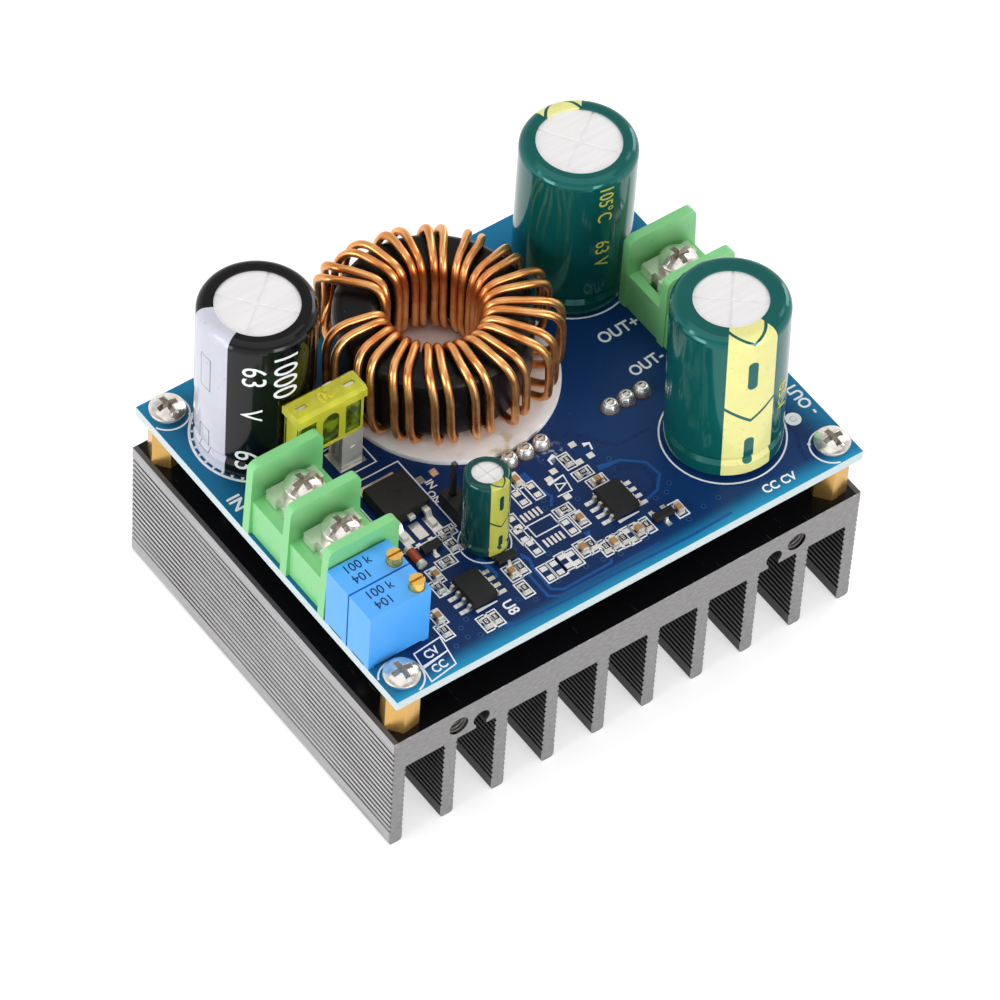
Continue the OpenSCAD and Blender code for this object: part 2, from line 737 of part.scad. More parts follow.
// Ring core with rounded edges
module choke_core() {
    r0 = core_id / 2;
    r1 = core_od / 2;
    e = core_edge_r;
    color([0.09, 0.09, 0.1])
    translate([choke_mid_x, choke_y, core_bottom])
        rotate_extrude($fn = 96)
            polygon(concat(
                arc(r1 - e, core_h - e, e, 0, 90), arc(r0 + e, core_h - e, e, 90, 180),
                arc(r0 + e, e, e, 180, 270), arc(r1 - e, e, e, 270, 360)
            ));
}

// How far a turn stands off the core's outside, by its direction
function slack(a) = loose_turn * pow(cos(a - winding_gap_at), 4);

// Radius of the choke over its winding, by direction
function choke_reach(a) = core_od / 2 + wire_gap + wire_d + wire_bow + slack(a);

// Cosine or sine that turns a circle into a squarer loop, as the power grows past 2
function squarer(value, power) = sign(value) * pow(abs(value), 2 / power);

// Radius, height and half spread of a turn at point k: up the outside, over the top, down the inside
function turn_point(k, a) =
    let (
        t = 360 * k / loop_points,
        over = t <= 180,
        power = over ? top_power : bottom_power,
        half_r = loop_half_r + (cos(t) > 0 ? slack(a) : 0),
        half_z = loop_half_z + (over ? wire_arch : 0)
    )
    [loop_mid_r + half_r * squarer(cos(t), power), loop_mid_z + half_z * squarer(sin(t), power),
     pair_half_inner + (pair_half_outer - pair_half_inner) * (1 + cos(t)) / 2];

// Point k of one of the two strands
function strand_point(strand, k) =
    let (
        middle = winding_start - turn_step * k / loop_points,
        p = turn_point(k % loop_points, middle),
        a = middle + strand * p[2]
    )
    [choke_mid_x + p[0] * cos(a), choke_y + p[0] * sin(a), p[1]];

// Whole route of a strand, from the board to the board
function strand_route(strand) =
    let (
        turns = [for (k = [0 : last_loop_point]) strand_point(strand, k)],
        first = turns[0],
        last = turns[last_loop_point]
    )
    concat([[first[0], first[1], lead_bottom]], turns, [[last[0], last[1], lead_bottom]]);

function unit(v) = v / norm(v);

// Ring of points round a route's point i
function wire_ring(route, i) =
    let (
        n = len(route) - 1,
        along = unit(route[min(i + 1, n)] - route[max(i - 1, 0)]),
        round_core = unit([choke_y - route[i][1], route[i][0] - choke_mid_x, 0]),
        side = unit(round_core - (round_core * along) * along),
        up = cross(along, side)
    )
    [for (k = [0 : wire_sides - 1])
        let (a = 360 * k / wire_sides) route[i] + wire_d / 2 * (cos(a) * side + sin(a) * up)];

// One strand of round wire swept along its route
module strand(s) {
    route = strand_route(s);
    count = len(route);
    n = wire_sides;
    polyhedron(
        points = [for (i = [0 : count - 1]) each wire_ring(route, i)],
        faces = concat(
            [[for (k = [0 : n - 1]) k]],
            [for (i = [0 : count - 2], k = [0 : n - 1])
                let (a = i * n + k, b = i * n + (k + 1) % n)
                each [[a, a + n, b + n], [a, b + n, b]]],
            [[for (k = [0 : n - 1]) count * n - 1 - k]]
        )
    );
}

// Two strands of copper wire wound side by side round the core
module choke_winding() {
    color([0.72, 0.4, 0.18])
    for (s = [-1, 1])
        strand(s);
}

// Half section of a capacitor's skin at a distance inside the sleeve's surface, from its base to its top
function cap_skin(d, h, foot, shoulder, inset) =
    let (r = d / 2 - inset, e = max(shoulder - inset, 0.1), waist = [0.08, 0.11, 0.14] * h)
    concat(
        [[r, foot], [r, waist[0]], [r - crimp_depth, waist[1]], [r, waist[2]]],
        arc(r - e, h - inset - e, e, 0, 90)
    );

// Sleeve of a capacitor, turned over its shoulder and open at the top
module cap_sleeve(d, h, disc, shoulder) {
    foot = 0.2;
    outside = cap_skin(d, h, foot, shoulder, 0);
    inside = cap_skin(d, h, foot, shoulder, sleeve_t);
    lip = [[disc / 2, h], [disc / 2, h - sleeve_t]];
    n = len(inside);
    rotate_extrude()
        polygon(concat(outside, lip, [for (k = [0 : n - 1]) inside[n - 1 - k]]));
}

// Metal can of a capacitor, with the scored vent in its top
module cap_can(d, h, shoulder, bung_h, vent_turn) {
    skin = cap_skin(d, h, bung_h, shoulder, sleeve_t + eps);
    score_l = d * 0.9;
    score_w = d * 0.028;
    score_h = 0.12;
    color([0.85, 0.85, 0.86])
    difference() {
        rotate_extrude()
            polygon(concat([[0, bung_h]], skin, [[0, h - sleeve_t - eps]]));
        for (turn = [0, 90])
            rotate([0, 0, turn + vent_turn])
                translate([-score_l / 2, -score_w / 2, h - sleeve_t - eps - score_h])
                    cube([score_l, score_w, 1]);
    }
}

bias_shoulder = 0.6;

// Place a capacitor's piece on the board, raised and leaning toward a direction
module at_cap(spot, lift = 0, lean = 0, toward = 0) {
    translate([spot[0], spot[1], board_top + lift])
        rotate([0, 0, toward])
            rotate([0, lean, 0])
                rotate([0, 0, -toward])
                    children();
}

module at_front_cap() {
    at_cap(output_cap_front, output_front_base, output_front_lean, output_front_lean_to)
        children();
}

module at_bias_cap() {
    at_cap(bias_cap, bias_lift, bias_cap_lean, bias_lean_to)
        children();
}

module input_cap_can() { at_cap(input_cap) cap_can(cap_d, cap_h, shoulder_r, cap_bung_h, 40); }
module input_cap_sleeve() {
    color([0.07, 0.07, 0.08]) at_cap(input_cap) cap_sleeve(cap_d, cap_h, input_disc_d, shoulder_r);
}
module output_cap_front_can() { at_front_cap() cap_can(cap_d, cap_h, shoulder_r, cap_bung_h, 50); }
module output_cap_front_sleeve() {
    color([0.03, 0.28, 0.25]) at_front_cap() cap_sleeve(cap_d, cap_h, output_front_disc_d, shoulder_r);
}
module output_cap_back_can() { at_cap(output_cap_back) cap_can(cap_d, cap_h, shoulder_r, cap_bung_h, 35); }
module output_cap_back_sleeve() {
    color([0.03, 0.28, 0.25])
        at_cap(output_cap_back) cap_sleeve(cap_d, cap_h, output_back_disc_d, shoulder_r);
}
module bias_cap_can() { at_bias_cap() cap_can(bias_cap_d, bias_cap_h, bias_shoulder, bias_bung_h, 5); }
module bias_cap_sleeve() {
    color([0.03, 0.28, 0.2]) at_bias_cap() cap_sleeve(bias_cap_d, bias_cap_h, bias_disc_d, bias_shoulder);
}

// Rubber bung of a capacitor, pierced for its two leads
module cap_bung(d, h, pitch, lead_d) {
    difference() {
        cylinder(d = d - 2 * sleeve_t - 2 * lead_fit, h = h);
        for (s = [-1, 1])
            translate([s * pitch / 2, 0, -1])
                cylinder(d = lead_d + 2 * lead_fit, h = h + 2, $fn = 24);
    }
}

// Bungs that close the capacitors' cans
module cap_bungs() {
    bias_bore = 2 * bias_lead_d;
    color([0.12, 0.12, 0.12]) {
        for (c = [input_cap, output_cap_back])
            at_cap(c) cap_bung(cap_d, cap_bung_h, cap_lead_pitch, cap_lead_d);
        at_front_cap() cap_bung(cap_d, cap_bung_h, cap_lead_pitch, cap_lead_d);
        at_bias_cap() cap_bung(bias_cap_d, bias_bung_h, bias_lead_pitch, bias_bore);
    }
}

// Leads of the capacitors, through the board
module cap_leads() {
    color("silver")
    for (p = concat(cap_lead_spots, bias_lead_spots))
        translate([p[0], p[1], lead_bottom])
            cylinder(r = p[2], h = board_top - lead_bottom + p[3], $fn = 24);
}

// Clear body of the blade fuse, hollow from below
module fuse_body() {
    bevel = 0.5;
    cap_band = 1.8;
    half = fuse_w / 2;
    hollow_set = fuse_low_set + fuse_wall;
    panel_set = 0.5;
    panel_top = fuse_h - cap_band - panel_set;
    slot_l = blade_w * 0.6;
    color([0.85, 0.85, 0.1, 0.6])
    translate([fuse_x, fuse_y, board_top + fuse_top - fuse_h])
        difference() {
            union() {
                translate([-fuse_l / 2, 0, fuse_h - cap_band])
                    rotate([90, 0, 90])
                        linear_extrude(fuse_l)
                            polygon([[-half, 0], [half, 0],
                                     [half, cap_band - bevel], [half - bevel, cap_band],
                                     [bevel - half, cap_band], [-half, cap_band - bevel]]);
                translate([fuse_low_set - fuse_l / 2, fuse_low_set - half, 0])
                    cube([fuse_l - 2 * fuse_low_set, fuse_w - 2 * fuse_low_set, fuse_h - cap_band + eps]);
            }
            translate([hollow_set - fuse_l / 2, hollow_set - half, -1])
                cube([fuse_l - 2 * hollow_set, fuse_w - 2 * hollow_set, fuse_h - fuse_wall]);
            for (s = [-1, 1])
                translate([s * blade_x - slot_l / 2, -blade_t / 2, fuse_h - fuse_wall - 2])
                    cube([slot_l, blade_t, fuse_wall + 3]);
            for (s = [-1, 1])
                translate([0, s * (half - fuse_low_set), 0])
                    rotate([90, 0, 0])
                        linear_extrude(2 * fuse_wall * panel_share, center = true)
                            fuse_panels(panel_top);
        }
}

// Outline of the sunk panels on a fuse's side: two beside the blades and one with a round top between them
module fuse_panels(top) {
    foot = 0.7;
    side_w = 2.4;
    side_set = 0.2;
    middle_w = 2.6;
    for (s = [-1, 1])
        translate([s * (blade_x - side_set) - side_w / 2, foot])
            square([side_w, top - foot]);
    translate([-middle_w / 2, foot])
        square([middle_w, top - foot - middle_w / 2]);
    translate([0, top - middle_w / 2])
        circle(d = middle_w);
}

// Fuse blades and the narrow link that joins them
module fuse_element() {
    blade_foot = 1.2;
    head_room = 1.3;
    blade_head = fuse_top - 2 * fuse_wall - head_room;
    link_h = 1.2;
    link_t = 0.3;
    shoulder = fuse_top - fuse_h - lead_fit;
    inner_edge = blade_x - blade_w / 2;
    outer_edge = fuse_l / 2 - fuse_low_set - fuse_wall - lead_fit;
    color([0.75, 0.75, 0.76])
    translate([fuse_x, fuse_y, board_top]) {
        for (s = [-1, 1]) {
            translate([s * blade_x - blade_w / 2, -blade_t / 2, blade_foot])
                cube([blade_w, blade_t, shoulder - blade_foot]);
            translate([s * (inner_edge + outer_edge) / 2, 0, (shoulder + blade_head - eps) / 2])
                cube([outer_edge - inner_edge, blade_t, blade_head - shoulder + eps], center = true);
        }
        translate([-blade_x, -link_t / 2, blade_head - link_h])
            cube([2 * blade_x, link_t, link_h]);
    }
}

// Sprung clips that grip the fuse's blades, with feet in the board
module fuse_clips() {
    clip_foot = 0.15;
    clip_h = fuse_top - fuse_h - clip_foot;
    grip_d = 1.2;
    grip_z = clip_h * 0.6;
    dimple_d = 0.95;
    dimple_depth = 0.15;
    leg_w = 1.2;
    color([0.72, 0.72, 0.7])
    for (s = [-1, 1])
        translate([fuse_x + s * blade_x, fuse_y, board_top]) {
            difference() {
                translate([-clip_l / 2, -clip_w / 2, clip_foot])
                    cube([clip_l, clip_w, clip_h - clip_foot]);
                translate([-clip_l / 2 - 1, clip_t - clip_w / 2, clip_foot + clip_t])
                    cube([clip_l + 2, clip_w - 2 * clip_t, clip_h]);
                for (sy = [-1, 1])
                    translate([0, sy * clip_w / 2, grip_z])
                        rotate([90, 0, 0])
                            cylinder(d = dimple_d, h = 2 * dimple_depth, center = true, $fn = 24);
            }
            for (sy = [-1, 1]) {
                grip = clip_w / 2 - clip_t - blade_t / 2 - eps * 2;
                translate([0, sy * (blade_t / 2 + eps * 2 + grip / 2), grip_z])
                    rotate([90, 0, 0])
                        cylinder(d = grip_d, h = grip + eps, center = true, $fn = 24);
                translate([-leg_w / 4, sy * (clip_w - clip_t) / 2 - clip_t / 2, lead_bottom - board_top])
                    cube([leg_w / 2, clip_t, board_top - lead_bottom + clip_foot + eps]);
            }
        }
}

// Place a piece at a terminal's outer end, with its length running inwards
module at_terminal(side) {
    translate([side < 0 ? left_edge : right_end, side < 0 ? input_term_y : output_term_y, board_top])
        rotate([0, 0, side < 0 ? 0 : 180])
            children();
}

// Moulded terminal housing: a block between three barrier walls
module terminal_housing(side) {
    tip_room = 0.3;
    leg_room = 0.1;
    color([0.4, 0.82, 0.45])
    at_terminal(side)
        difference() {
            union() {
                for (i = [-1, 0, 1])
                    translate([0, i * pole_pitch + wall_t / 2, 0])
                        rotate([90, 0, 0])
                            linear_extrude(wall_t)
                                polygon(concat(
                                    [[0, 0], [term_l, 0]],
                                    arc(term_l - wall_r, wall_h - wall_r, wall_r, 0, 90),
                                    arc(wall_lean + wall_r, wall_h - wall_r, wall_r, 90, 180)
                                ));
                translate([term_base_set, -pole_pitch, 0])
                    cube([term_l - term_base_set - term_inner_set, 2 * pole_pitch, term_base_h]);
            }
            for (i = [-1, 1])
                translate([pole_edge, i * pole_pitch / 2, 0]) {
                    translate([0, 0, term_base_h + contact_t + clamp_t - term_screw_l - tip_room])
                        cylinder(d = screw_well_d, h = wall_h);
                    translate([contact_leg_x - leg_room, -contact_leg_w / 2 - leg_room, -1])
                        cube([leg_slot_l, contact_leg_w + 2 * leg_room, term_base_h + 2]);
                }
        }
}

// Contact strips on the block, each with a leg down to the board
module terminal_contacts(side) {
    leg_foot = 0.2;
    color([0.8, 0.8, 0.78])
    at_terminal(side)
        for (i = [-1, 1])
            translate([pole_edge, i * pole_pitch / 2, 0]) {
                difference() {
                    translate([-contact_half, -contact_w / 2, term_base_h])
                        cube([2 * contact_half, contact_w, contact_t]);
                    translate([0, 0, term_base_h - 1])
                        cylinder(d = term_screw_d + 2 * turn_fit, h = contact_t + 2);
                }
                translate([contact_leg_x, -contact_leg_w / 2, leg_foot])
                    cube([contact_t, contact_leg_w, term_base_h + contact_t - leg_foot - eps]);
                translate([contact_leg_x, -contact_pin / 2, lead_bottom - board_top])
                    cube([contact_t, contact_pin, board_top - lead_bottom + leg_foot + eps]);
            }
}

// Square clamp plate with notched lips bent down at both ends
module clamp(side, i) {
    color([0.84, 0.84, 0.82])
    translate(concat(pole_spot(side, i), board_top + term_base_h + contact_t))
        difference() {
            union() {
                translate([-clamp_l / 2, -clamp_w / 2, 0])
                    cube([clamp_l, clamp_w, clamp_t]);
                for (s = [-1, 1])
                    translate([s * (clamp_l + clamp_lip_t) / 2, 0, (clamp_t - clamp_lip_drop) / 2])
                        cube([clamp_lip_t + eps, clamp_w, clamp_t + clamp_lip_drop], center = true);
            }
            translate([0, 0, -1])
                cylinder(d = term_screw_d + 2 * turn_fit, h = clamp_t + 2);
            for (s = [-1, 1])
                translate([s * (clamp_l / 2 + clamp_lip_t), 0, 0])
                    cube([2 * clamp_lip_t - eps, clamp_notch, 4 * clamp_t], center = true);
        }
}

// Terminal screw with a cross recess and a slot across its whole head
module terminal_screw(side, i) {
    slot_w = term_head_d * 0.12;
    slot_h = term_head_h * 0.35;
    slot_turn = 20;
    color([0.86, 0.86, 0.85])
    translate(concat(pole_spot(side, i), board_top + term_base_h + contact_t + clamp_t)) {
        difference() {
            pan_head(term_head_d, term_head_h);
            rotate([0, 0, slot_turn])
                translate([-term_head_d, -slot_w / 2, term_head_h - slot_h])
                    cube([2 * term_head_d, slot_w, term_head_h]);
        }
        translate([0, 0, -term_screw_l])
            cylinder(d = term_screw_d, h = term_screw_l + eps);
    }
}

module input_terminal_housing() { terminal_housing(-1); }
module input_terminal_contacts() { terminal_contacts(-1); }
module input_clamp_a() { clamp(-1, 1); }
module input_clamp_b() { clamp(-1, -1); }
module input_screw_a() { terminal_screw(-1, 1); }
module input_screw_b() { terminal_screw(-1, -1); }
module output_terminal_housing() { terminal_housing(1); }
module output_terminal_contacts() { terminal_contacts(1); }
module output_clamp_a() { clamp(1, 1); }
module output_clamp_b() { clamp(1, -1); }
module output_screw_a() { terminal_screw(1, 1); }
module output_screw_b() { terminal_screw(1, -1); }

// Trimmer case on four small feet, bored for its adjuster
module trimmer_case(y) {
    foot_w = 1;
    color([0.16, 0.45, 0.85])
    translate([trim_x, y, board_top])
        difference() {
            union() {
                translate([-trim_l / 2, -trim_w / 2, trim_foot])
                    cube([trim_l, trim_w, trim_h]);
                for (sx = [-1, 1], sy = [-1, 1])
                    translate([sx * (trim_l - foot_w) / 2, sy * (trim_w - foot_w) / 2, (trim_foot + eps) / 2])
                        cube([foot_w, foot_w, trim_foot + eps], center = true);
            }
            translate([adjuster_x - trim_x, -adjuster_side, trim_foot + trim_h - adjuster_seat - turn_fit])
                cylinder(d = adjuster_d + 2 * turn_fit, h = adjuster_seat + 1);
        }
}

// Slotted adjuster that turns in a trimmer's case
module adjuster(y) {
    slot_w = 0.35;
    slot_h = 0.6;
    color([0.8, 0.62, 0.2])
    translate([adjuster_x, y - adjuster_side, board_top + trim_foot + trim_h])
        difference() {
            translate([0, 0, -adjuster_seat])
                cylinder(d = adjuster_d, h = adjuster_seat + adjuster_proud);
            translate([-adjuster_d, -slot_w / 2, adjuster_proud - slot_h])
                cube([2 * adjuster_d, slot_w, 1]);
        }
}

module voltage_trimmer_case() { trimmer_case(trim_ys[0]); }
module voltage_adjuster() { adjuster(trim_ys[0]); }
module current_trimmer_case() { trimmer_case(trim_ys[1]); }
module current_adjuster() { adjuster(trim_ys[1]); }

// Pins under the trimmers, through the board
module trimmer_pins() {
    color("silver")
    for (p = trim_pin_spots)
        translate([p[0], p[1], lead_bottom])
            cylinder(r = p[2], h = lead_stub + board_t + trim_foot, $fn = 24);
}

// Moulded body with sloping sides, on a base height, its length along Y
module moulded_body(w, l, h, lift) {
    draft = 0.12;
    half = w / 2;
    translate([0, l / 2, lift])
        rotate([90, 0, 0])
            linear_extrude(l)
                polygon([[draft - half, 0], [half - draft, 0], [half, h / 2], [half - draft, h],
                         [draft - half, h], [-half, h / 2]]);
}

// Bent lead of a small part, from the body's side at x0 to its tip at x1, centred on Y
module gull_lead(x0, x1, height, w, t) {
    foot = (x1 - x0) * 0.55;
    knee = x0 + (x1 - x0) * 0.25;
    translate([0, w / 2, 0])
        rotate([90, 0, 0])
            linear_extrude(w)
                polygon([[x0, height], [knee, height], [x1 - foot, 0], [x1, 0], [x1, t],
                         [x1 - foot + t / 2, t], [knee + t / 2, height + t], [x0, height + t]]);
}

// Surface-mounted switch beside the input terminal, with the mark of an ejector pin on top
module switch_body() {
    lift = 0.1;
    mark_d = 1.3;
    mark_depth = 0.1;
    color([0.09, 0.09, 0.09])
    translate([dpak_x, dpak_y, board_top])
        difference() {
            moulded_body(dpak_w, dpak_l, dpak_h - lift, lift);
            translate([0, 0, dpak_h - mark_depth])
                cylinder(d = mark_d, h = 1);
        }
}

// Tab and leads of the surface-mounted switch, with its middle lead cut short
module switch_leads() {
    tab_w = 5.2;
    lead_w = 0.9;
    lead_t = 0.5;
    lead_z = 0.9;
    lead_reach = 2.6;
    tab_reach = 0.9;
    stub = 0.8;
    color("silver")
    translate([dpak_x, dpak_y, board_top]) {
        translate([-tab_w / 2, dpak_l / 2 + eps, 0])
            cube([tab_w, tab_reach, lead_t]);
        for (s = [-1, 1])
            translate([s * dpak_lead_pitch, 0, 0])
                rotate([0, 0, -90])
                    gull_lead(dpak_l / 2 + eps, dpak_l / 2 + lead_reach, lead_z, lead_w, lead_t);
        translate([-lead_w / 2, -dpak_l / 2 - stub, lead_z])
            cube([lead_w, stub - eps, lead_t]);
    }
}

// Control chips
module controller_bodies() {
    lift = 0.12;
    color([0.08, 0.08, 0.08])
    for (p = controller_spots)
        translate([p[0], p[1], board_top])
            moulded_body(ic_w, ic_l, ic_h, lift);
}

// Leads along both sides of the control chips
module controller_leads() {
    lead_w = 0.42;
    lead_t = 0.2;
    lead_z = 0.7;
    color("silver")
    for (p = controller_spots, i = [-1.5 : 1.5], s = [0, 180])
        translate([p[0], p[1] + i * ic_pitch, board_top])
            rotate([0, 0, s])
                gull_lead(ic_w / 2 + eps, ic_span / 2, lead_z, lead_w, lead_t);
}

// Small three-legged transistors
module small_transistor_bodies() {
    lift = 0.1;
    color([0.08, 0.08, 0.08])
    for (p = sot_spots)
        translate([p[0], p[1], board_top])
            rotate([0, 0, p[2] + 90])
                moulded_body(sot_w, sot_l, sot_h - lift, lift);
}

module small_transistor_leads() {
    pitch = 0.95;
    lead_w = 0.42;
    lead_t = 0.15;
    lead_z = 0.45;
    color("silver")
    for (p = sot_spots)
        translate([p[0], p[1], board_top])
            rotate([0, 0, p[2] + 90]) {
                for (s = [-1, 1])
                    translate([0, s * pitch, 0])
                        gull_lead(sot_w / 2 + eps, sot_span / 2, lead_z, lead_w, lead_t);
                rotate([0, 0, 180])
                    gull_lead(sot_w / 2 + eps, sot_span / 2, lead_z, lead_w, lead_t);
            }
}

module at_chip(p) {
    translate([p[0], p[1], board_top])
        rotate([0, 0, p[2]])
            children();
}

// Chip resistors between their metal ends
module chip_resistors() {
    color([0.1, 0.1, 0.1])
    for (p = resistor_spots)
        at_chip(p)
            translate([chip_end - chip_l / 2, -chip_w / 2, chip_lift])
                cube([chip_l - 2 * chip_end, chip_w, resistor_h - chip_lift]);
}

// Chip capacitors between their metal ends
module chip_capacitors() {
    color([0.65, 0.48, 0.3])
    for (p = chip_cap_spots)
        at_chip(p)
            translate([chip_end - chip_l / 2, -chip_w / 2, chip_lift])
                cube([chip_l - 2 * chip_end, chip_w, chip_cap_h - chip_lift]);
}

// Metal ends of the chip parts
module chip_ends() {
    color("silver")
    for (s = [-1, 1]) {
        for (p = resistor_spots)
            at_chip(p)
                translate([s * (chip_l - chip_end) / 2, 0, resistor_h / 2])
                    cube([chip_end, chip_w, resistor_h], center = true);
        for (p = chip_cap_spots)
            at_chip(p)
                translate([s * (chip_l - chip_end) / 2, 0, chip_cap_h / 2])
                    cube([chip_end, chip_w, chip_cap_h], center = true);
    }
}

// Glass diode lying along Y
module glass_diode() {
    color([0.75, 0.25, 0.1])
    translate([diode_x, diode_y, board_top + diode_d / 2])
        rotate([90, 0, 0])
            cylinder(d = diode_d - 2 * diode_glass_set, h = diode_l - 2 * diode_end, center = true);
}

module diode_ends() {
    color("silver")
    for (s = [-1, 1])
        translate([diode_x, diode_y + s * (diode_l - diode_end) / 2, board_top + diode_d / 2])
            rotate([90, 0, 0])
                cylinder(d = diode_d, h = diode_end, center = true);
}

// Pin header beside the small capacitor
module header_base() {
    hole = header_pin + 2 * lead_fit;
    color([0.06, 0.06, 0.06])
    difference() {
        translate([header_x - header_pitch / 2, header_ys[1] - header_pitch / 2, board_top])
            cube([header_pitch, 2 * header_pitch, header_h]);
        for (y = header_ys)
            translate([header_x - hole / 2, y - hole / 2, board_top - 1])
                cube([hole, hole, header_h + 2]);
    }
}

module header_pins() {
    color("silver")
    for (y = header_ys)
        translate([header_x - header_pin / 2, y - header_pin / 2, lead_bottom])
            cube([header_pin, header_pin, board_top - lead_bottom + header_pin_h]);
}

// Cone of solder on a lead, standing on the board
module solder_cone(lead_r) {
    foot_rim = 0.5;
    tip_rim = 0.25;
    cylinder(d1 = max(pad_d, 2 * (lead_r + foot_rim)), d2 = 2 * (lead_r + tip_rim), h = solder_h, $fn = 24);
}

// Rounded bead of solder round a power device's lead
module solder_bead(lead_r) {
    rim = 0.1;
    reach = bead_d / 2 - lead_r - rim;
    rotate_extrude($fn = 32)
        polygon(concat([[0, 0]], [for (a = [0 : 15 : 90]) [lead_r + rim + reach * cos(a), bead_h * sin(a)]],
                       [[0, bead_h]]));
}

// Solder joints: under the board for most leads, on top for the power devices
module solder_joints() {
    lead_room = 0.02;
    color([0.78, 0.78, 0.76]) {
        difference() {
            for (p = lower_joint_spots)
                translate([p[0], p[1], board_bottom])
                    mirror([0, 0, 1])
                        solder_cone(p[2]);
            for (p = lower_joint_spots)
                translate([p[0], p[1], board_bottom - solder_h - 1])
                    cylinder(r = p[2] + lead_room, h = solder_h + 2, $fn = 24);
        }
        for (p = device_lead_spots)
            translate([p[0], p[1], board_top])
                difference() {
                    solder_bead(p[2]);
                    translate([0, 0, -1])
                        cylinder(r = p[2] + lead_room, h = bead_h + 2, $fn = 24);
                }
    }
}

heatsink();
standoffs();
board();
board_screws();
thermal_pads();
transistor_body();
transistor_leads();
rectifier_body();
rectifier_leads();
device_screws();
insulating_bushes();
choke_base();
choke_core();
choke_winding();
input_cap_can();
input_cap_sleeve();
output_cap_front_can();
output_cap_front_sleeve();
output_cap_back_can();
output_cap_back_sleeve();
bias_cap_can();
bias_cap_sleeve();
cap_bungs();
cap_leads();
fuse_body();
fuse_element();
fuse_clips();
input_terminal_housing();
input_terminal_contacts();
input_clamp_a();
input_clamp_b();
input_screw_a();
input_screw_b();
output_terminal_housing();
output_terminal_contacts();
output_clamp_a();
output_clamp_b();
output_screw_a();
output_screw_b();
voltage_trimmer_case();
voltage_adjuster();
current_trimmer_case();
current_adjuster();
trimmer_pins();
switch_body();
switch_leads();
controller_bodies();
controller_leads();
small_transistor_bodies();
small_transistor_leads();
chip_resistors();
chip_capacitors();
chip_ends();
glass_diode();
diode_ends();
header_base();
header_pins();
solder_joints();
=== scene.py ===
"""Looks of the boost converter module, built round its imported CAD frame."""

import json
import math

import bmesh
import bpy
from mathutils import Euler, Matrix, Vector


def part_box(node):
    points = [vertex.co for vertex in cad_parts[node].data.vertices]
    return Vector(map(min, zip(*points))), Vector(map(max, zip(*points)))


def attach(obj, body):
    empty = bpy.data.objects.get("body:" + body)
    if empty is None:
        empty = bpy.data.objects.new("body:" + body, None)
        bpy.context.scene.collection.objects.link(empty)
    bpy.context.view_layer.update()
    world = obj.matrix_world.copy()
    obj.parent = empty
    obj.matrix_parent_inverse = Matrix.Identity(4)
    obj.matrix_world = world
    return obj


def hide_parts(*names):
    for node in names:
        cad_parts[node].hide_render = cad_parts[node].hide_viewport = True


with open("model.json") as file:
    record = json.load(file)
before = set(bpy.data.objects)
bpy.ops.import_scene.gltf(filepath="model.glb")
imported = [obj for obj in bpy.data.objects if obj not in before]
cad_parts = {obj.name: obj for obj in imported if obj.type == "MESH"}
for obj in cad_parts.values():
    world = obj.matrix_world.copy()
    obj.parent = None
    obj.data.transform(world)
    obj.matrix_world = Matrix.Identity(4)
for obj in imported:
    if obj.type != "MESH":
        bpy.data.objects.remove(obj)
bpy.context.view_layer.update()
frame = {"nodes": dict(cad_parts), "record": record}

# Lengths are in millimetres and angles in degrees, in the frame of the CAD part
MM = 0.001
NODES = frame["nodes"]


def corners(node):
    """Lowest and highest corner of a CAD node in millimetres."""
    low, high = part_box(node)
    return low / MM, high / MM


def base_of(node, level):
    """Middle of a CAD node at a level."""
    low, high = corners(node)
    return Vector(((low.x + high.x) / 2, (low.y + high.y) / 2, level))


BOARD_LOW, BOARD_HIGH = corners("board")
SINK_LOW, SINK_HIGH = corners("heatsink")
BOARD_TOP = BOARD_HIGH.z
FIN_COUNT = 10
FIN_T = 2.05
FIN_PITCH = (SINK_HIGH.x - SINK_LOW.x - FIN_T) / (FIN_COUNT - 1)

# Camera that sees the part as the photograph does
CAMERA_PLACE = (-390.96, -483.11, 770.82)
CAMERA_TURN = (39.370, -2.587, -35.897)
CAMERA_LENS = 264.0
SENSOR = 36.0

# Ring choke and the route of its wire
CORE_LOW, CORE_HIGH = corners("choke_core")
CHOKE = base_of("choke_core", 0)
CORE_OD, CORE_ID = CORE_HIGH.x - CORE_LOW.x, 14.5
WIRE_D = 1.14
TURNS = 15
WOUND_ARC = 325
TURN_STEP = WOUND_ARC / TURNS
PAIR_INNER, PAIR_OUTER = TURN_STEP * 0.24, TURN_STEP * 0.19
WINDING_GAP_AT = 141
WINDING_START = WINDING_GAP_AT - (360 - WOUND_ARC) / 2 - PAIR_INNER
LOOSE_TURN = 2.8
WIRE_ARCH = 0.6
LOOP_HALF_R = (CORE_OD - CORE_ID) / 4 + 0.9
LOOP_HALF_Z = (CORE_HIGH.z - CORE_LOW.z) / 2 + 0.75
TOP_POWER, BOTTOM_POWER = 3.6, 4.5
LEAD_BOTTOM = BOARD_LOW.z - 1.5
LOOP_POINTS = 48

# Angle that the first turns lie ahead of an even spacing, and the turns over which it comes and goes
FIRST_AHEAD = 13
AHEAD_REACHED = 0.2
AHEAD_TURNS = 5
# Angle that the first turn slants inside the ring, and the share of the turn where the slant starts
FIRST_SLANT = 22
SLANT_FROM = 0.25

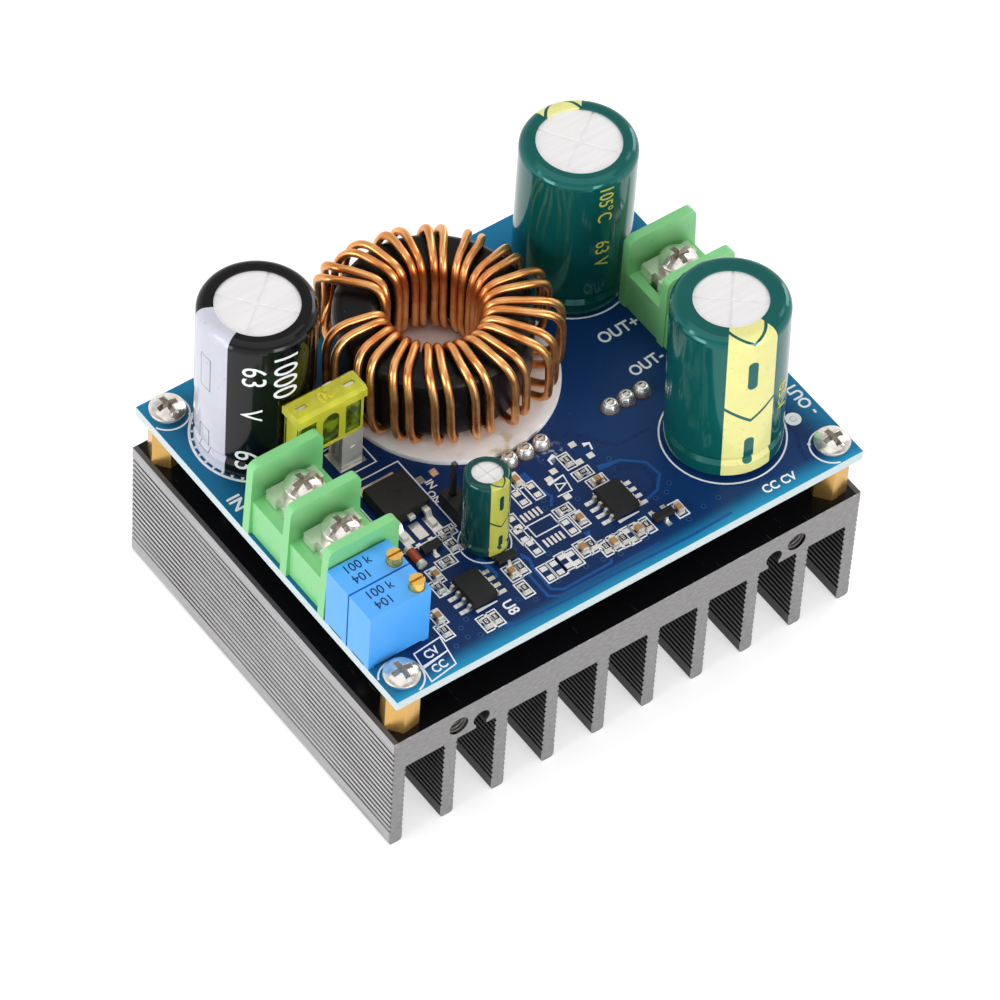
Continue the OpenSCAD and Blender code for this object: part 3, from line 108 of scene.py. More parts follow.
# Capacitors: place of the base, lean and its direction, and the side that the stripe faces
CAP_R, CAP_H = 8.0, 26.0
INPUT_CAP = base_of("input_cap_sleeve", BOARD_TOP)
BACK_CAP = base_of("output_cap_back_sleeve", BOARD_TOP)
FRONT_CAP = Vector((24, -17.09, BOARD_TOP + 0.765))
FRONT_LEAN, FRONT_LEAN_TO = 1.9, 110
INPUT_FACES, FRONT_FACES, BACK_FACES, BIAS_FACES = 180, 256, 77, 273
STRIPE_HALF, INPUT_STRIPE_HALF, BIAS_STRIPE_HALF = 26, 27, 30
BIAS_CAP = Vector((-12.9, -14.46, BOARD_TOP + 0.32))
BIAS_LEAN, BIAS_LEAN_TO = 5, 65
BIAS_R, BIAS_H = 3.15, 12.8

# Share of the metal can that shows through a sleeve
CAN_SHOWS = 0.3

# Thickness of printed marks, and how far letters are thickened as a share of their size
PRINT_T = 0.03
BOLD = 0.02


# Shader nodes

# Range that most values of a noise lie in
NOISE_LOW, NOISE_HIGH = 0.2, 0.8


def rgb(red, green, blue):
    """A colour given as it shows on screen, 0 to 255, in Blender's linear values."""
    def linear(value):
        share = value / 255
        return share / 12.92 if share <= 0.04045 else ((share + 0.055) / 1.055) ** 2.4
    return (linear(red), linear(green), linear(blue), 1.0)


def shaded(colour, share):
    """A colour made darker or lighter by a share."""
    return tuple(min(1.0, c * share) for c in colour[:3]) + (1.0,)


class Shader:
    """A material and short calls for the nodes that it is made of."""

    def __init__(self, name):
        self.material = bpy.data.materials.new(name)
        self.material.use_nodes = True
        self.tree = self.material.node_tree
        self.surface = self.tree.nodes["Principled BSDF"]
        coordinates = self.add("ShaderNodeTexCoord").outputs["Object"]
        self.point = self.vector("SCALE", coordinates, scale=1 / MM)

    def put(self, socket, value):
        if isinstance(value, bpy.types.NodeSocket):
            self.tree.links.new(value, socket)
        else:
            socket.default_value = value

    def add(self, kind, inputs=None, **settings):
        node = self.tree.nodes.new(kind)
        for name, value in settings.items():
            setattr(node, name, value)
        for name, value in (inputs or {}).items():
            self.put(node.inputs[name], value)
        return node

    def vector(self, operation, a, b=(0, 0, 0), scale=1.0):
        node = self.add("ShaderNodeVectorMath", {0: a, 1: b}, operation=operation)
        if operation == "SCALE":
            node.inputs["Scale"].default_value = scale
        return node.outputs["Value" if operation in ("DISTANCE", "LENGTH") else "Vector"]

    def math(self, operation, a, b=0.0):
        return self.add("ShaderNodeMath", {0: a, 1: b}, operation=operation).outputs[0]

    def split(self, vector=None):
        node = self.add("ShaderNodeSeparateXYZ", {0: self.point if vector is None else vector})
        return node.outputs[0], node.outputs[1], node.outputs[2]

    def step(self, value, low, high):
        """0 up to low, 1 from high, and a smooth rise between them."""
        inputs = {0: value, 1: low, 2: high}
        return self.add("ShaderNodeMapRange", inputs, interpolation_type="SMOOTHSTEP").outputs[0]

    def around(self, noise, middle, spread):
        """A value that follows a noise round its middle."""
        ends = {1: NOISE_LOW, 2: NOISE_HIGH, 3: middle - spread, 4: middle + spread}
        return self.add("ShaderNodeMapRange", {0: noise, **ends}).outputs[0]

    def mix(self, factor, a, b):
        node = self.add("ShaderNodeMix", {0: factor, 6: a, 7: b}, data_type="RGBA")
        return node.outputs[2]

    def both(self, *masks):
        result = masks[0]
        for mask in masks[1:]:
            result = self.math("MULTIPLY", result, mask)
        return result

    def most(self, *masks):
        result = masks[0]
        for mask in masks[1:]:
            result = self.math("MAXIMUM", result, mask)
        return result

    def flip(self, mask):
        return self.math("SUBTRACT", 1.0, mask)

    def near(self, place, inner, outer):
        """1 round a place, fading out from an inner to an outer distance."""
        return self.flip(self.step(self.vector("DISTANCE", self.point, place), inner, outer))

    def noise(self, scale, detail=3.0, stretch=None):
        """Noise with about scale features to a millimetre."""
        place = self.vector("MULTIPLY", self.point, stretch) if stretch else self.point
        node = self.add("ShaderNodeTexNoise", {"Vector": place, "Scale": scale, "Detail": detail})
        return node.outputs[0]

    def specks(self, spacing, radius):
        """1 on scattered round specks."""
        node = self.add("ShaderNodeTexVoronoi", {"Vector": self.point, "Scale": 1 / spacing})
        return self.flip(self.step(node.outputs["Distance"], radius / spacing * 0.6, radius / spacing))

    def faces_up(self):
        """1 on faces that look up."""
        normal = self.add("ShaderNodeNewGeometry").outputs["Normal"]
        return self.step(self.split(normal)[2], 0.4, 0.6)

    def bump(self, height, depth, strength=1.0):
        inputs = {"Height": height, "Strength": strength, "Distance": depth * MM}
        self.put(self.surface.inputs["Normal"], self.add("ShaderNodeBump", inputs).outputs[0])

    def finish(self, **sockets):
        for name, value in sockets.items():
            self.put(self.surface.inputs[name.replace("_", " ")], value)
        return self.material


def plastic(name, colour, rough, spread=0.1, grain=0.006, shine=0.35):
    """Moulded plastic: a fine grain, and a colour and gloss that vary a little."""
    s = Shader(name)
    tone = s.mix(s.noise(0.25, 4), shaded(colour, 1 - spread), shaded(colour, 1 + spread))
    s.bump(s.noise(6, 2), grain)
    gloss = s.around(s.noise(1.2), rough, 0.08)
    return s.finish(Base_Color=tone, Roughness=gloss, Specular_IOR_Level=shine)


def metal(name, colour, rough, metallic=0.85, stretch=None, spread=0.1, grain=0.002, scale=0.5):
    """Bare metal with faint marks, which stretch along one way if it is drawn or turned."""
    s = Shader(name)
    marks = s.noise(scale, 3, stretch)
    s.bump(s.noise(4, 2, stretch), grain)
    tone = s.mix(s.step(marks, 0.3, 0.7), shaded(colour, 1 - spread), colour)
    return s.finish(Base_Color=tone, Metallic=metallic, Roughness=s.around(marks, rough, 0.06))


def anodised():
    """Heatsink: black top with worn edges, greyer ribs with grooves darkened as painted shade, fin faces
    between the fins as a darker painted-shade copy, and sawn ends.
    """
    s = Shader("anodised")
    x, y, z = s.split()
    top = s.step(z, SINK_HIGH.z - 0.03, SINK_HIGH.z - 0.01)
    end = s.step(s.math("ABSOLUTE", y), SINK_HIGH.y - 0.03, SINK_HIGH.y - 0.01)
    outer = s.step(s.math("ABSOLUTE", x), SINK_HIGH.x - FIN_T * 0.5, SINK_HIGH.x - FIN_T * 0.4)
    across = s.math("MODULO", s.math("SUBTRACT", x, SINK_LOW.x), FIN_PITCH)
    from_mid = s.math("ABSOLUTE", s.math("SUBTRACT", across, FIN_T / 2))
    ridge = s.step(from_mid, FIN_T / 2 - 0.05, FIN_T / 2 - 0.01)
    drawn = s.noise(1.6, 4, (5, 0.04, 5))
    sawn = s.noise(0.9, 6, (1.2, 1, 3.2))
    scratch = s.step(s.noise(0.35, 3, (9, 0.6, 1)), 0.7, 0.74)
    dust = s.specks(2.6, 0.045)
    # Painted shade: the grooves, sunk below the rib faces, are drawn darker than the ridges
    groove_shade = s.mix(s.step(s.noise(0.06, 2), 0.4, 0.6), rgb(40, 40, 41), rgb(92, 91, 92))
    drawn_rib = s.mix(s.step(drawn, 0.3, 0.7), rgb(148, 147, 148), rgb(194, 192, 193))
    rib = s.mix(ridge, groove_shade, drawn_rib)
    # Painted shade: between the fins the ribs are a darker copy of the outer ones, with the grooves there
    # darker still
    rib_between_fins_shade = s.mix(ridge, rgb(8, 8, 8), rgb(70, 70, 69))
    sides = s.mix(outer, rib_between_fins_shade, rib)
    worn_edge = s.step(s.math("ABSOLUTE", x), SINK_HIGH.x - 0.75, SINK_HIGH.x - 0.65)
    black = s.mix(s.most(dust, s.both(scratch, 0.15)), rgb(17, 17, 18), rgb(130, 130, 130))
    black = s.mix(worn_edge, black, rgb(92, 91, 92))
    scuff = s.both(s.step(z, SINK_HIGH.z - 0.5, SINK_HIGH.z), s.step(s.noise(0.8, 4), 0.55, 0.66))
    cut = s.mix(s.step(sawn, 0.3, 0.75), rgb(132, 131, 131), rgb(152, 150, 150))
    cut = s.mix(scuff, cut, rgb(196, 194, 192))
    colour = s.mix(end, s.mix(top, sides, black), cut)
    s.bump(s.math("ADD", s.both(drawn, s.flip(top)), s.both(sawn, end)), 0.008)
    bare = s.both(s.flip(top), 0.3)
    rough = s.math("SUBTRACT", 0.46, s.math("MULTIPLY", top, 0.3))
    return s.finish(Base_Color=colour, Metallic=bare, Roughness=rough, Specular_IOR_Level=0.2)


def solder_mask():
    """Circuit board: navy over copper, paler toward the edges, partly where there is no copper under it
    and partly as painted light with a painted reflection along the front edge, with pale sides.
    """
    s = Shader("solder_mask")
    x, y, z = s.split()
    front_fade, back_fade, left_fade, right_fade = 3.4, 12, 7, 5
    # Painted light: the mask lightens toward each edge over these reaches, strongest along the front,
    # where it is a painted reflection
    front = s.flip(s.step(y, BOARD_LOW.y - 0.4, BOARD_LOW.y + front_fade))
    back = s.both(s.step(y, BOARD_HIGH.y - back_fade, BOARD_HIGH.y), 0.7)
    left = s.both(s.flip(s.step(x, BOARD_LOW.x, BOARD_LOW.x + left_fade)), 0.5)
    right = s.both(s.step(x, BOARD_HIGH.x - right_fade, BOARD_HIGH.x), 0.6)
    pale = s.most(front, back, left, right)
    light_side = s.step(s.math("ADD", x, s.math("MULTIPLY", s.noise(0.12, 2), 8)), 2, 22)
    deep = s.mix(light_side, rgb(12, 44, 92), rgb(16, 54, 105))
    colour = s.mix(pale, deep, rgb(32, 146, 192))
    by_joints = s.near((3.2, -7.0, BOARD_TOP), 0.6, 2.6)
    residue = s.both(by_joints, s.step(s.noise(1.3, 3), 0.5, 0.62), 0.5)
    dust = s.both(s.specks(2.4, 0.05), 0.45)
    colour = s.mix(s.most(residue, dust), colour, rgb(190, 200, 206))
    up = s.most(s.faces_up(), s.flip(s.step(z, BOARD_LOW.z + 0.01, BOARD_LOW.z + 0.03)))
    grain = s.noise(2.5, 3, (1, 1, 6))
    laminate = s.mix(grain, rgb(184, 207, 213), rgb(224, 232, 234))
    s.bump(s.noise(1.4, 3), 0.006)
    return s.finish(Base_Color=s.mix(up, laminate, colour), Roughness=0.3, Specular_IOR_Level=0.16)


def cap_frame(base, lean, toward, facing):
    """Turn from a capacitor's own axes, with x toward a direction on its side, to the part's frame."""
    tilt = Matrix.Rotation(math.radians(toward), 4, "Z") @ Matrix.Rotation(math.radians(lean), 4, "Y")
    back = Matrix.Rotation(math.radians(facing - toward), 4, "Z")
    return Matrix.Translation(base) @ tilt @ back


# Open marks in a yellow stripe, for a large capacitor
CHEVRONS_AT, CHEVRON_RISE, CHEVRON_HALF = (10.6, 25.4), 0.75, 0.3
SLOTS_AT, SLOT_HALF_L, SLOT_R = (4.6, 19.3), 1.9, 0.7
MARK_BLUR = 0.04
# Middle and half height of the boxes on a pale stripe, and half their width
BOXES, BOX_HALF = ((17.5, 3.1), (4.3, 2.3)), 1.05


def stripe_gaps(s, aside, along, skin, unit):
    """Chevrons and slots left open in a yellow stripe, by the place across it and the height on it."""
    gaps = []
    rise = s.math("MULTIPLY", aside, CHEVRON_RISE)
    for low in CHEVRONS_AT:
        off = s.math("ABSOLUTE", s.math("SUBTRACT", s.math("SUBTRACT", skin, low * unit), rise))
        inner, outer = CHEVRON_HALF - MARK_BLUR, CHEVRON_HALF + MARK_BLUR
        gaps.append(s.flip(s.step(off, inner * unit, outer * unit)))
    for middle in SLOTS_AT:
        off = s.math("ABSOLUTE", s.math("SUBTRACT", skin, middle * unit))
        over = s.most(s.math("SUBTRACT", off, SLOT_HALF_L * unit), 0.0)
        room = s.math("SQRT", s.math("ADD", s.math("POWER", over, 2.0), s.math("POWER", along, 2.0)))
        gaps.append(s.flip(s.step(room, (SLOT_R - MARK_BLUR) * unit, (SLOT_R + MARK_BLUR) * unit)))
    return gaps


def box_lines(s, aside, skin):
    """Outlines of two boxes on a pale stripe."""
    lines = []
    for middle, half_h in BOXES:
        off = s.math("ABSOLUTE", s.math("SUBTRACT", skin, middle))
        box = s.most(s.math("SUBTRACT", aside, BOX_HALF), s.math("SUBTRACT", off, half_h))
        lines.append(s.both(s.step(box, -0.12, -0.08), s.flip(s.step(box, 0.0, 0.04)), 0.9))
    return lines


def sleeve(name, colour, stripe, base, radius, height, facing, half_width, lean=0, toward=0, boxes=False):
    """Shrink sleeve with a printed stripe that runs up the side and over the shoulder."""
    s = Shader(name)
    turn = cap_frame(base, lean, toward, facing).to_euler()
    own_axes = {"Vector": s.point, "Location": base, "Rotation": turn}
    x, y, z = s.split(s.add("ShaderNodeMapping", own_axes, vector_type="TEXTURE").outputs[0])
    from_axis = s.math("SQRT", s.math("ADD", s.math("MULTIPLY", x, x), s.math("MULTIPLY", y, y)))
    skin = s.math("ADD", z, s.math("SUBTRACT", radius, from_axis))
    along = s.math("MULTIPLY", s.math("ARCTAN2", y, x), radius)
    aside = s.math("ABSOLUTE", along)
    reach = math.radians(half_width) * radius
    printed = s.flip(s.step(aside, reach - 0.06, reach))
    gaps = box_lines(s, aside, skin) if boxes else stripe_gaps(s, aside, along, skin, height / CAP_H)
    for gap in gaps:
        printed = s.both(printed, s.flip(gap))
    worn = s.both(s.step(s.noise(1.1, 6), 0.62, 0.72), 0.14)
    fade = s.mix(s.noise(0.4, 2), stripe, shaded(stripe, 0.9))
    body = s.mix(s.noise(0.3, 3), colour, shaded(colour, 1.3))
    dust = s.both(s.specks(2.6, 0.05), 0.4)
    s.bump(s.noise(0.5, 2, (1, 1, 0.2)), 0.03, 0.5)
    inked = s.both(printed, s.flip(worn))
    colour = s.mix(dust, s.mix(inked, body, fade), rgb(190, 196, 196))
    bare = s.both(s.flip(inked), CAN_SHOWS)
    gloss = s.around(s.noise(0.8), 0.1, 0.04)
    return s.finish(Base_Color=colour, Metallic=bare, Roughness=gloss, Specular_IOR_Level=0.4)


def insulating_fibre():
    """White disc with flux stains by the transistor's joints."""
    s = Shader("insulating_fibre")
    low, high = corners("choke_base")
    near = s.near((-1.6, low.y + 0.8, high.z), 0.5, 4.5)
    stain = s.both(near, s.step(s.noise(0.6, 4), 0.42, 0.62), 0.8)
    grime = s.step(s.noise(0.35, 5), 0.5, 0.8)
    clean = s.mix(grime, rgb(250, 248, 249), rgb(234, 230, 230))
    colour = s.mix(stain, clean, rgb(206, 186, 132))
    s.bump(s.noise(3, 3), 0.01)
    return s.finish(Base_Color=colour, Roughness=0.5, Specular_IOR_Level=0.3)


def powder_core():
    """Coated iron-powder core with small chips and scuffs."""
    s = Shader("powder_core")
    scuff = s.step(s.noise(0.9, 7), 0.6, 0.74)
    chips = s.both(s.specks(1.6, 0.06), 0.7)
    s.bump(s.noise(2.2, 4), 0.03)
    coat = s.mix(scuff, rgb(13, 13, 13), rgb(34, 33, 32))
    colour = s.mix(chips, coat, rgb(150, 148, 145))
    rough = s.math("ADD", s.math("MULTIPLY", scuff, 0.15), 0.3)
    return s.finish(Base_Color=colour, Roughness=rough, Specular_IOR_Level=0.2)


def enamelled_copper():
    """Copper wire under a clear enamel, with darker stretches."""
    s = Shader("enamelled_copper")
    streak = s.noise(0.35, 2)
    colour = s.mix(s.step(streak, 0.3, 0.7), rgb(218, 138, 74), rgb(244, 182, 116))
    return s.finish(Base_Color=colour, Metallic=0.9, Roughness=s.around(streak, 0.29, 0.03))


def tinted(name, colour, clear, rough=0.1):
    """Clear tinted plastic or glass."""
    s = Shader(name)
    s.bump(s.noise(1.2, 3), 0.01)
    tone = s.mix(s.noise(0.6, 3), colour, shaded(colour, 0.9))
    return s.finish(Base_Color=tone, Roughness=rough, IOR=1.46, Transmission_Weight=clear)


def fuse_plastic():
    """Clear yellow fuse body, with painted shade in the sunk panels of its sides, which are drawn darker
    and greener.
    """
    s = Shader("fuse_yellow")
    low, high = corners("fuse_body")
    half = (high.y - low.y) / 2
    x, y, z = s.split()
    away = s.math("ABSOLUTE", s.math("SUBTRACT", y, (low.y + high.y) / 2))
    below_cap = s.flip(s.step(z, high.z - 2.2, high.z - 2.1))
    inside = s.flip(s.step(away, half - 0.4, half - 0.36))
    sunk = s.both(below_cap, inside, s.step(away, half - 0.8, half - 0.7))
    # Painted shade: the sunk panels get a darker olive green for the shade seen into them
    panel_shade = s.mix(s.step(s.noise(0.5, 2), 0.42, 0.6), rgb(66, 88, 24), rgb(150, 176, 44))
    clear = s.mix(s.noise(0.7, 3), rgb(252, 249, 92), rgb(244, 240, 72))
    colour = s.mix(sunk, clear, panel_shade)
    s.bump(s.noise(1.0, 2), 0.01)
    return s.finish(Base_Color=colour, Roughness=0.06, IOR=1.45, Transmission_Weight=0.56)


def screw_metal(name, top, depth):
    """Plated screw, with painted shade that makes the level faces low in its head's cross darker."""
    s = Shader(name)
    normal = s.add("ShaderNodeNewGeometry").outputs["Normal"]
    level = s.step(s.split(normal)[2], 0.97, 0.99)
    below = s.flip(s.step(s.split()[2], top - depth, top - depth + 0.05))
    # Painted shade: level faces deep in the head's cross are drawn darker, standing in for the shade
    # there
    recess_shade = s.both(level, below)
    marks = s.noise(0.8, 3)
    plate = s.mix(s.step(marks, 0.3, 0.7), rgb(214, 207, 198), rgb(240, 235, 227))
    s.bump(s.noise(3, 2), 0.004)
    colour = s.mix(recess_shade, plate, rgb(186, 178, 168))
    return s.finish(Base_Color=colour, Metallic=0.85, Roughness=s.around(marks, 0.2, 0.05))


def ink(name, colour, rough=0.55):
    """Printed ink with thin spots."""
    s = Shader(name)
    thin = s.step(s.noise(3.5, 4), 0.62, 0.74)
    tone = s.mix(thin, colour, shaded(colour, 0.78))
    return s.finish(Base_Color=tone, Roughness=rough, Specular_IOR_Level=0.2)


def chip_body(name, face, side):
    """Chip part: a dark or tan top over a paler ceramic."""
    s = Shader(name)
    tone = s.mix(s.noise(2.0, 3), face, shaded(face, 0.8))
    return s.finish(Base_Color=s.mix(s.faces_up(), side, tone), Roughness=0.42, Specular_IOR_Level=0.3)


BLACK_SLEEVE, PALE_STRIPE = rgb(14, 15, 14), rgb(206, 206, 220)
GREEN_SLEEVE, YELLOW_STRIPE = rgb(13, 90, 85), rgb(238, 234, 152)
SMALL_SLEEVE, SMALL_STRIPE = rgb(17, 68, 64), rgb(188, 188, 78)
# Depth below a screw's top from which a level face counts as the recessed cross, which gets painted shade
RECESS_BELOW, TERMINAL_RECESS_BELOW = 0.5, 0.45

MATERIALS = {
    "anodised": anodised(),
    "pillar_metal": metal("pillar_brass", rgb(220, 174, 98), 0.26, stretch=(1, 1, 0.1)),
    "circuit_board": solder_mask(),
    "screw_steel": screw_metal("nickel", corners("board_screws")[1].z, RECESS_BELOW),
    "thermal_sheet": plastic("thermal_sheet", rgb(180, 180, 174), 0.7),
    "moulded_black": plastic("moulded_black", rgb(32, 32, 33), 0.5, 0.15, 0.012, 0.22),
    "tinned": metal("tinned", rgb(236, 232, 226), 0.34, 0.6),
    "insulating_white": insulating_fibre(),
    "core_black": powder_core(),
    "copper_wire": enamelled_copper(),
    "can_metal": metal("can_aluminium", rgb(240, 238, 238), 0.45, 0.3, (0.3, 3, 1), 0.05),
    "bung_rubber": plastic("bung_rubber", rgb(26, 26, 26), 0.7),
    "fuse_yellow": fuse_plastic(),
    "terminal_green": plastic("terminal_green", rgb(126, 207, 132), 0.34, 0.04, shine=0.8),
    "trimmer_blue": plastic("trimmer_blue", rgb(70, 168, 251), 0.36, 0.04, shine=0.8),
    "adjuster_brass": metal("turned_brass", rgb(236, 192, 100), 0.26, 0.9, (1, 1, 0.2)),
    "chip_black": chip_body("chip_black", rgb(26, 26, 27), rgb(214, 214, 210)),
    "chip_tan": chip_body("chip_tan", rgb(186, 142, 92), rgb(170, 128, 84)),
    "diode_glass": tinted("diode_glass", rgb(210, 86, 50), 0.45),
    "solder": metal("solder", rgb(236, 234, 230), 0.24, 0.75),
}
SLEEVES = {
    "input_cap_sleeve": sleeve(
        "sleeve_black", BLACK_SLEEVE, PALE_STRIPE, INPUT_CAP, CAP_R, CAP_H,
        INPUT_FACES, INPUT_STRIPE_HALF, boxes=True),
    "output_cap_front_sleeve": sleeve(
        "sleeve_front", GREEN_SLEEVE, YELLOW_STRIPE, FRONT_CAP, CAP_R, CAP_H,
        FRONT_FACES, STRIPE_HALF, FRONT_LEAN, FRONT_LEAN_TO),
    "output_cap_back_sleeve": sleeve(
        "sleeve_back", GREEN_SLEEVE, YELLOW_STRIPE, BACK_CAP, CAP_R, CAP_H,
        BACK_FACES, STRIPE_HALF),
    "bias_cap_sleeve": sleeve(
        "sleeve_small", SMALL_SLEEVE, SMALL_STRIPE, BIAS_CAP, BIAS_R, BIAS_H,
        BIAS_FACES, BIAS_STRIPE_HALF, BIAS_LEAN, BIAS_LEAN_TO),
}
TERMINAL_TOP = corners("input_screw_a")[1].z
TERMINAL_SCREW = screw_metal("terminal_nickel", TERMINAL_TOP, TERMINAL_RECESS_BELOW)
PLATED = metal("plated", rgb(236, 231, 223), 0.24, 0.75)
HEADER_PIN = metal("header_pin", rgb(92, 90, 88), 0.3)
# Painted shade: the threads are drawn dark for the shade inside the holes
THREAD_SHADE = metal("thread_shade", rgb(104, 102, 100), 0.3)
PRINT_WHITE = ink("print_white", rgb(240, 242, 244))
PRINT_BLUE = ink("print_blue", rgb(16, 34, 84))
PRINT_YELLOW = ink("print_yellow", rgb(206, 194, 84))
TRACE_BLUE = plastic("trace_mask", rgb(24, 82, 150), 0.3, shine=0.16)
GAP_BLUE = plastic("gap_mask", rgb(12, 44, 92), 0.3, shine=0.16)
FLUX = tinted("flux", rgb(120, 76, 36), 0.4, 0.2)


# CAD nodes keep their shape; fine edges are eased by modifiers

# Width of the eased edge by a part of the node's name, where the first that fits counts
EDGES = {
    "terminal_housing": 0.12, "trimmer_case": 0.1, "fuse_body": 0.08, "board_screws": 0.06,
    "screw_": 0.06, "clamp": 0.06, "switch_body": 0.05, "controller_bodies": 0.04,
    "standoffs": 0.08, "adjuster": 0.05, "choke_base": 0.1, "contacts": 0.05,
    "fuse_clips": 0.05, "board": 0.05, "chip_": 0.03, "header_base": 0.06,
}
WELD_REACH = 1e-6
EDGE_SEGMENTS, EDGE_ANGLE = 2, 40


def ease_edges(node, width):
    """Join the triangles' corners of a CAD node and round its sharp edges."""
    weld = node.modifiers.new("weld", "WELD")
    weld.merge_threshold = WELD_REACH
    bevel = node.modifiers.new("edge", "BEVEL")
    bevel.width = width * MM
    bevel.segments = EDGE_SEGMENTS
    bevel.limit_method = "ANGLE"
    bevel.angle_limit = math.radians(EDGE_ANGLE)


def dress_nodes():
    """Give each CAD node its material and eased edges."""
    slots = {part["node"]: part["material_slot"] for part in frame["record"]["subparts"]}
    for name, node in NODES.items():
        material = SLEEVES.get(name) or MATERIALS[slots[name]]
        if "put_screw" in name:
            material = TERMINAL_SCREW
        elif "put_clamp" in name or "contacts" in name:
            material = PLATED
        elif name == "header_pins":
            material = HEADER_PIN
        node.data.materials.clear()
        node.data.materials.append(material)
        width = next((width for key, width in EDGES.items() if key in name), None)
        if width:
            ease_edges(node, width)


# Pieces that are added to the CAD nodes

def add_piece(name, mesh, material, body="module"):
    """Put a mesh in millimetres into the scene as a piece that rides on a body."""
    mesh.transform(Matrix.Scale(MM, 4))
    mesh.materials.append(material)
    piece = bpy.data.objects.new(name, mesh)
    bpy.context.scene.collection.objects.link(piece)
    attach(piece, body)
    return piece


def mesh_of(name, bm, smooth=False):
    """Mesh with its faces turned outward."""
    bmesh.ops.recalc_face_normals(bm, faces=bm.faces)
    mesh = bpy.data.meshes.new(name)
    bm.to_mesh(mesh)
    bm.free()
    if smooth:
        mesh.shade_smooth()
    return mesh


def on_circle(centre, radius, angle):
    """Point on a circle, by its angle in radians."""
    return (centre[0] + radius * math.cos(angle), centre[1] + radius * math.sin(angle))


def tube(bm, points, radius, sides=12):
    """A round wire along a line of points, closed at both ends."""
    rings = []
    last = len(points) - 1
    side = None
    for i, point in enumerate(points):
        along = (points[min(i + 1, last)] - points[max(i - 1, 0)]).normalized()
        side = along.orthogonal() if side is None else side - along * side.dot(along)
        side.normalize()
        up = along.cross(side)
        rings.append([bm.verts.new(point + radius * (math.cos(a) * side + math.sin(a) * up))
                      for a in (math.tau * k / sides for k in range(sides))])
    for low, high in zip(rings, rings[1:]):
        for k in range(sides):
            bm.faces.new((low[k], low[(k + 1) % sides], high[(k + 1) % sides], high[k]))
    bm.faces.new(rings[0])
    bm.faces.new(rings[-1])


def strand_route(strand):
    """Route of one strand: the CAD route with more points, and wider and slanting at its start."""
    mid_r = (CORE_OD + CORE_ID) / 4
    mid_z = (CORE_LOW.z + CORE_HIGH.z) / 2

    def squarer(value, power):
        return math.copysign(abs(value) ** (2 / power), value)

    def place(k):
        turns = k / LOOP_POINTS
        ahead = FIRST_AHEAD * min(1, turns / AHEAD_REACHED) * max(0, 1 - turns / AHEAD_TURNS)
        slant_share = min(1, max(0, (turns - SLANT_FROM) / (1 - SLANT_FROM)))
        slant = FIRST_SLANT * math.sin(math.pi * slant_share) ** 2
        middle = WINDING_START - TURN_STEP * turns + ahead + slant
        turn = math.tau * (k % LOOP_POINTS) / LOOP_POINTS
        over = turn <= math.pi
        power = TOP_POWER if over else BOTTOM_POWER
        slack = LOOSE_TURN * math.cos(math.radians(middle - WINDING_GAP_AT)) ** 4
        half_r = LOOP_HALF_R + (slack if math.cos(turn) > 0 else 0)
        half_z = LOOP_HALF_Z + (WIRE_ARCH if over else 0)
        spread = PAIR_INNER + (PAIR_OUTER - PAIR_INNER) * (1 + math.cos(turn)) / 2
        r = mid_r + half_r * squarer(math.cos(turn), power)
        a = math.radians(middle + strand * spread)
        height = mid_z + half_z * squarer(math.sin(turn), power)
        return CHOKE + Vector((r * math.cos(a), r * math.sin(a), height))

    route = [place(k) for k in range((TURNS - 1) * LOOP_POINTS + LOOP_POINTS // 2 + 1)]
    foot, tail = route[0].copy(), route[-1].copy()
    foot.z = tail.z = LEAD_BOTTOM
    return [foot, foot.lerp(route[0], 0.5)] + route + [tail.lerp(route[-1], 0.5), tail]


def copper_winding():
    """Winding of two strands side by side, in place of the CAD one."""
    bm = bmesh.new()
    for strand in (-1, 1):
        tube(bm, strand_route(strand), WIRE_D / 2)
    mesh = mesh_of("copper_winding", bm, smooth=True)
    winding = add_piece("copper_winding", mesh, MATERIALS["copper_wire"])
    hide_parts("choke_winding")


def letters(text, size, thickness, narrow=1.0, bold=BOLD):
    """A word as a closed mesh, centred on its own middle, reading along x."""
    curve = bpy.data.curves.new("letters", "FONT")
    curve.body = text
    curve.size = size
    curve.offset = size * bold
    curve.extrude = thickness / 2
    curve.resolution_u = 4
    curve.align_x = "CENTER"
    curve.align_y = "CENTER"
    source = bpy.data.objects.new("letters", curve)
    bpy.context.scene.collection.objects.link(source)
    bpy.context.view_layer.update()
    mesh = bpy.data.meshes.new_from_object(source.evaluated_get(bpy.context.evaluated_depsgraph_get()))
    bpy.data.objects.remove(source)
    bpy.data.curves.remove(curve)
    mesh.transform(Matrix.Diagonal((narrow, 1, 1, 1)))
    return mesh


# Least cosine at a bend, so that the outside of a sharp one doesn't reach far
SHARPEST = 0.4


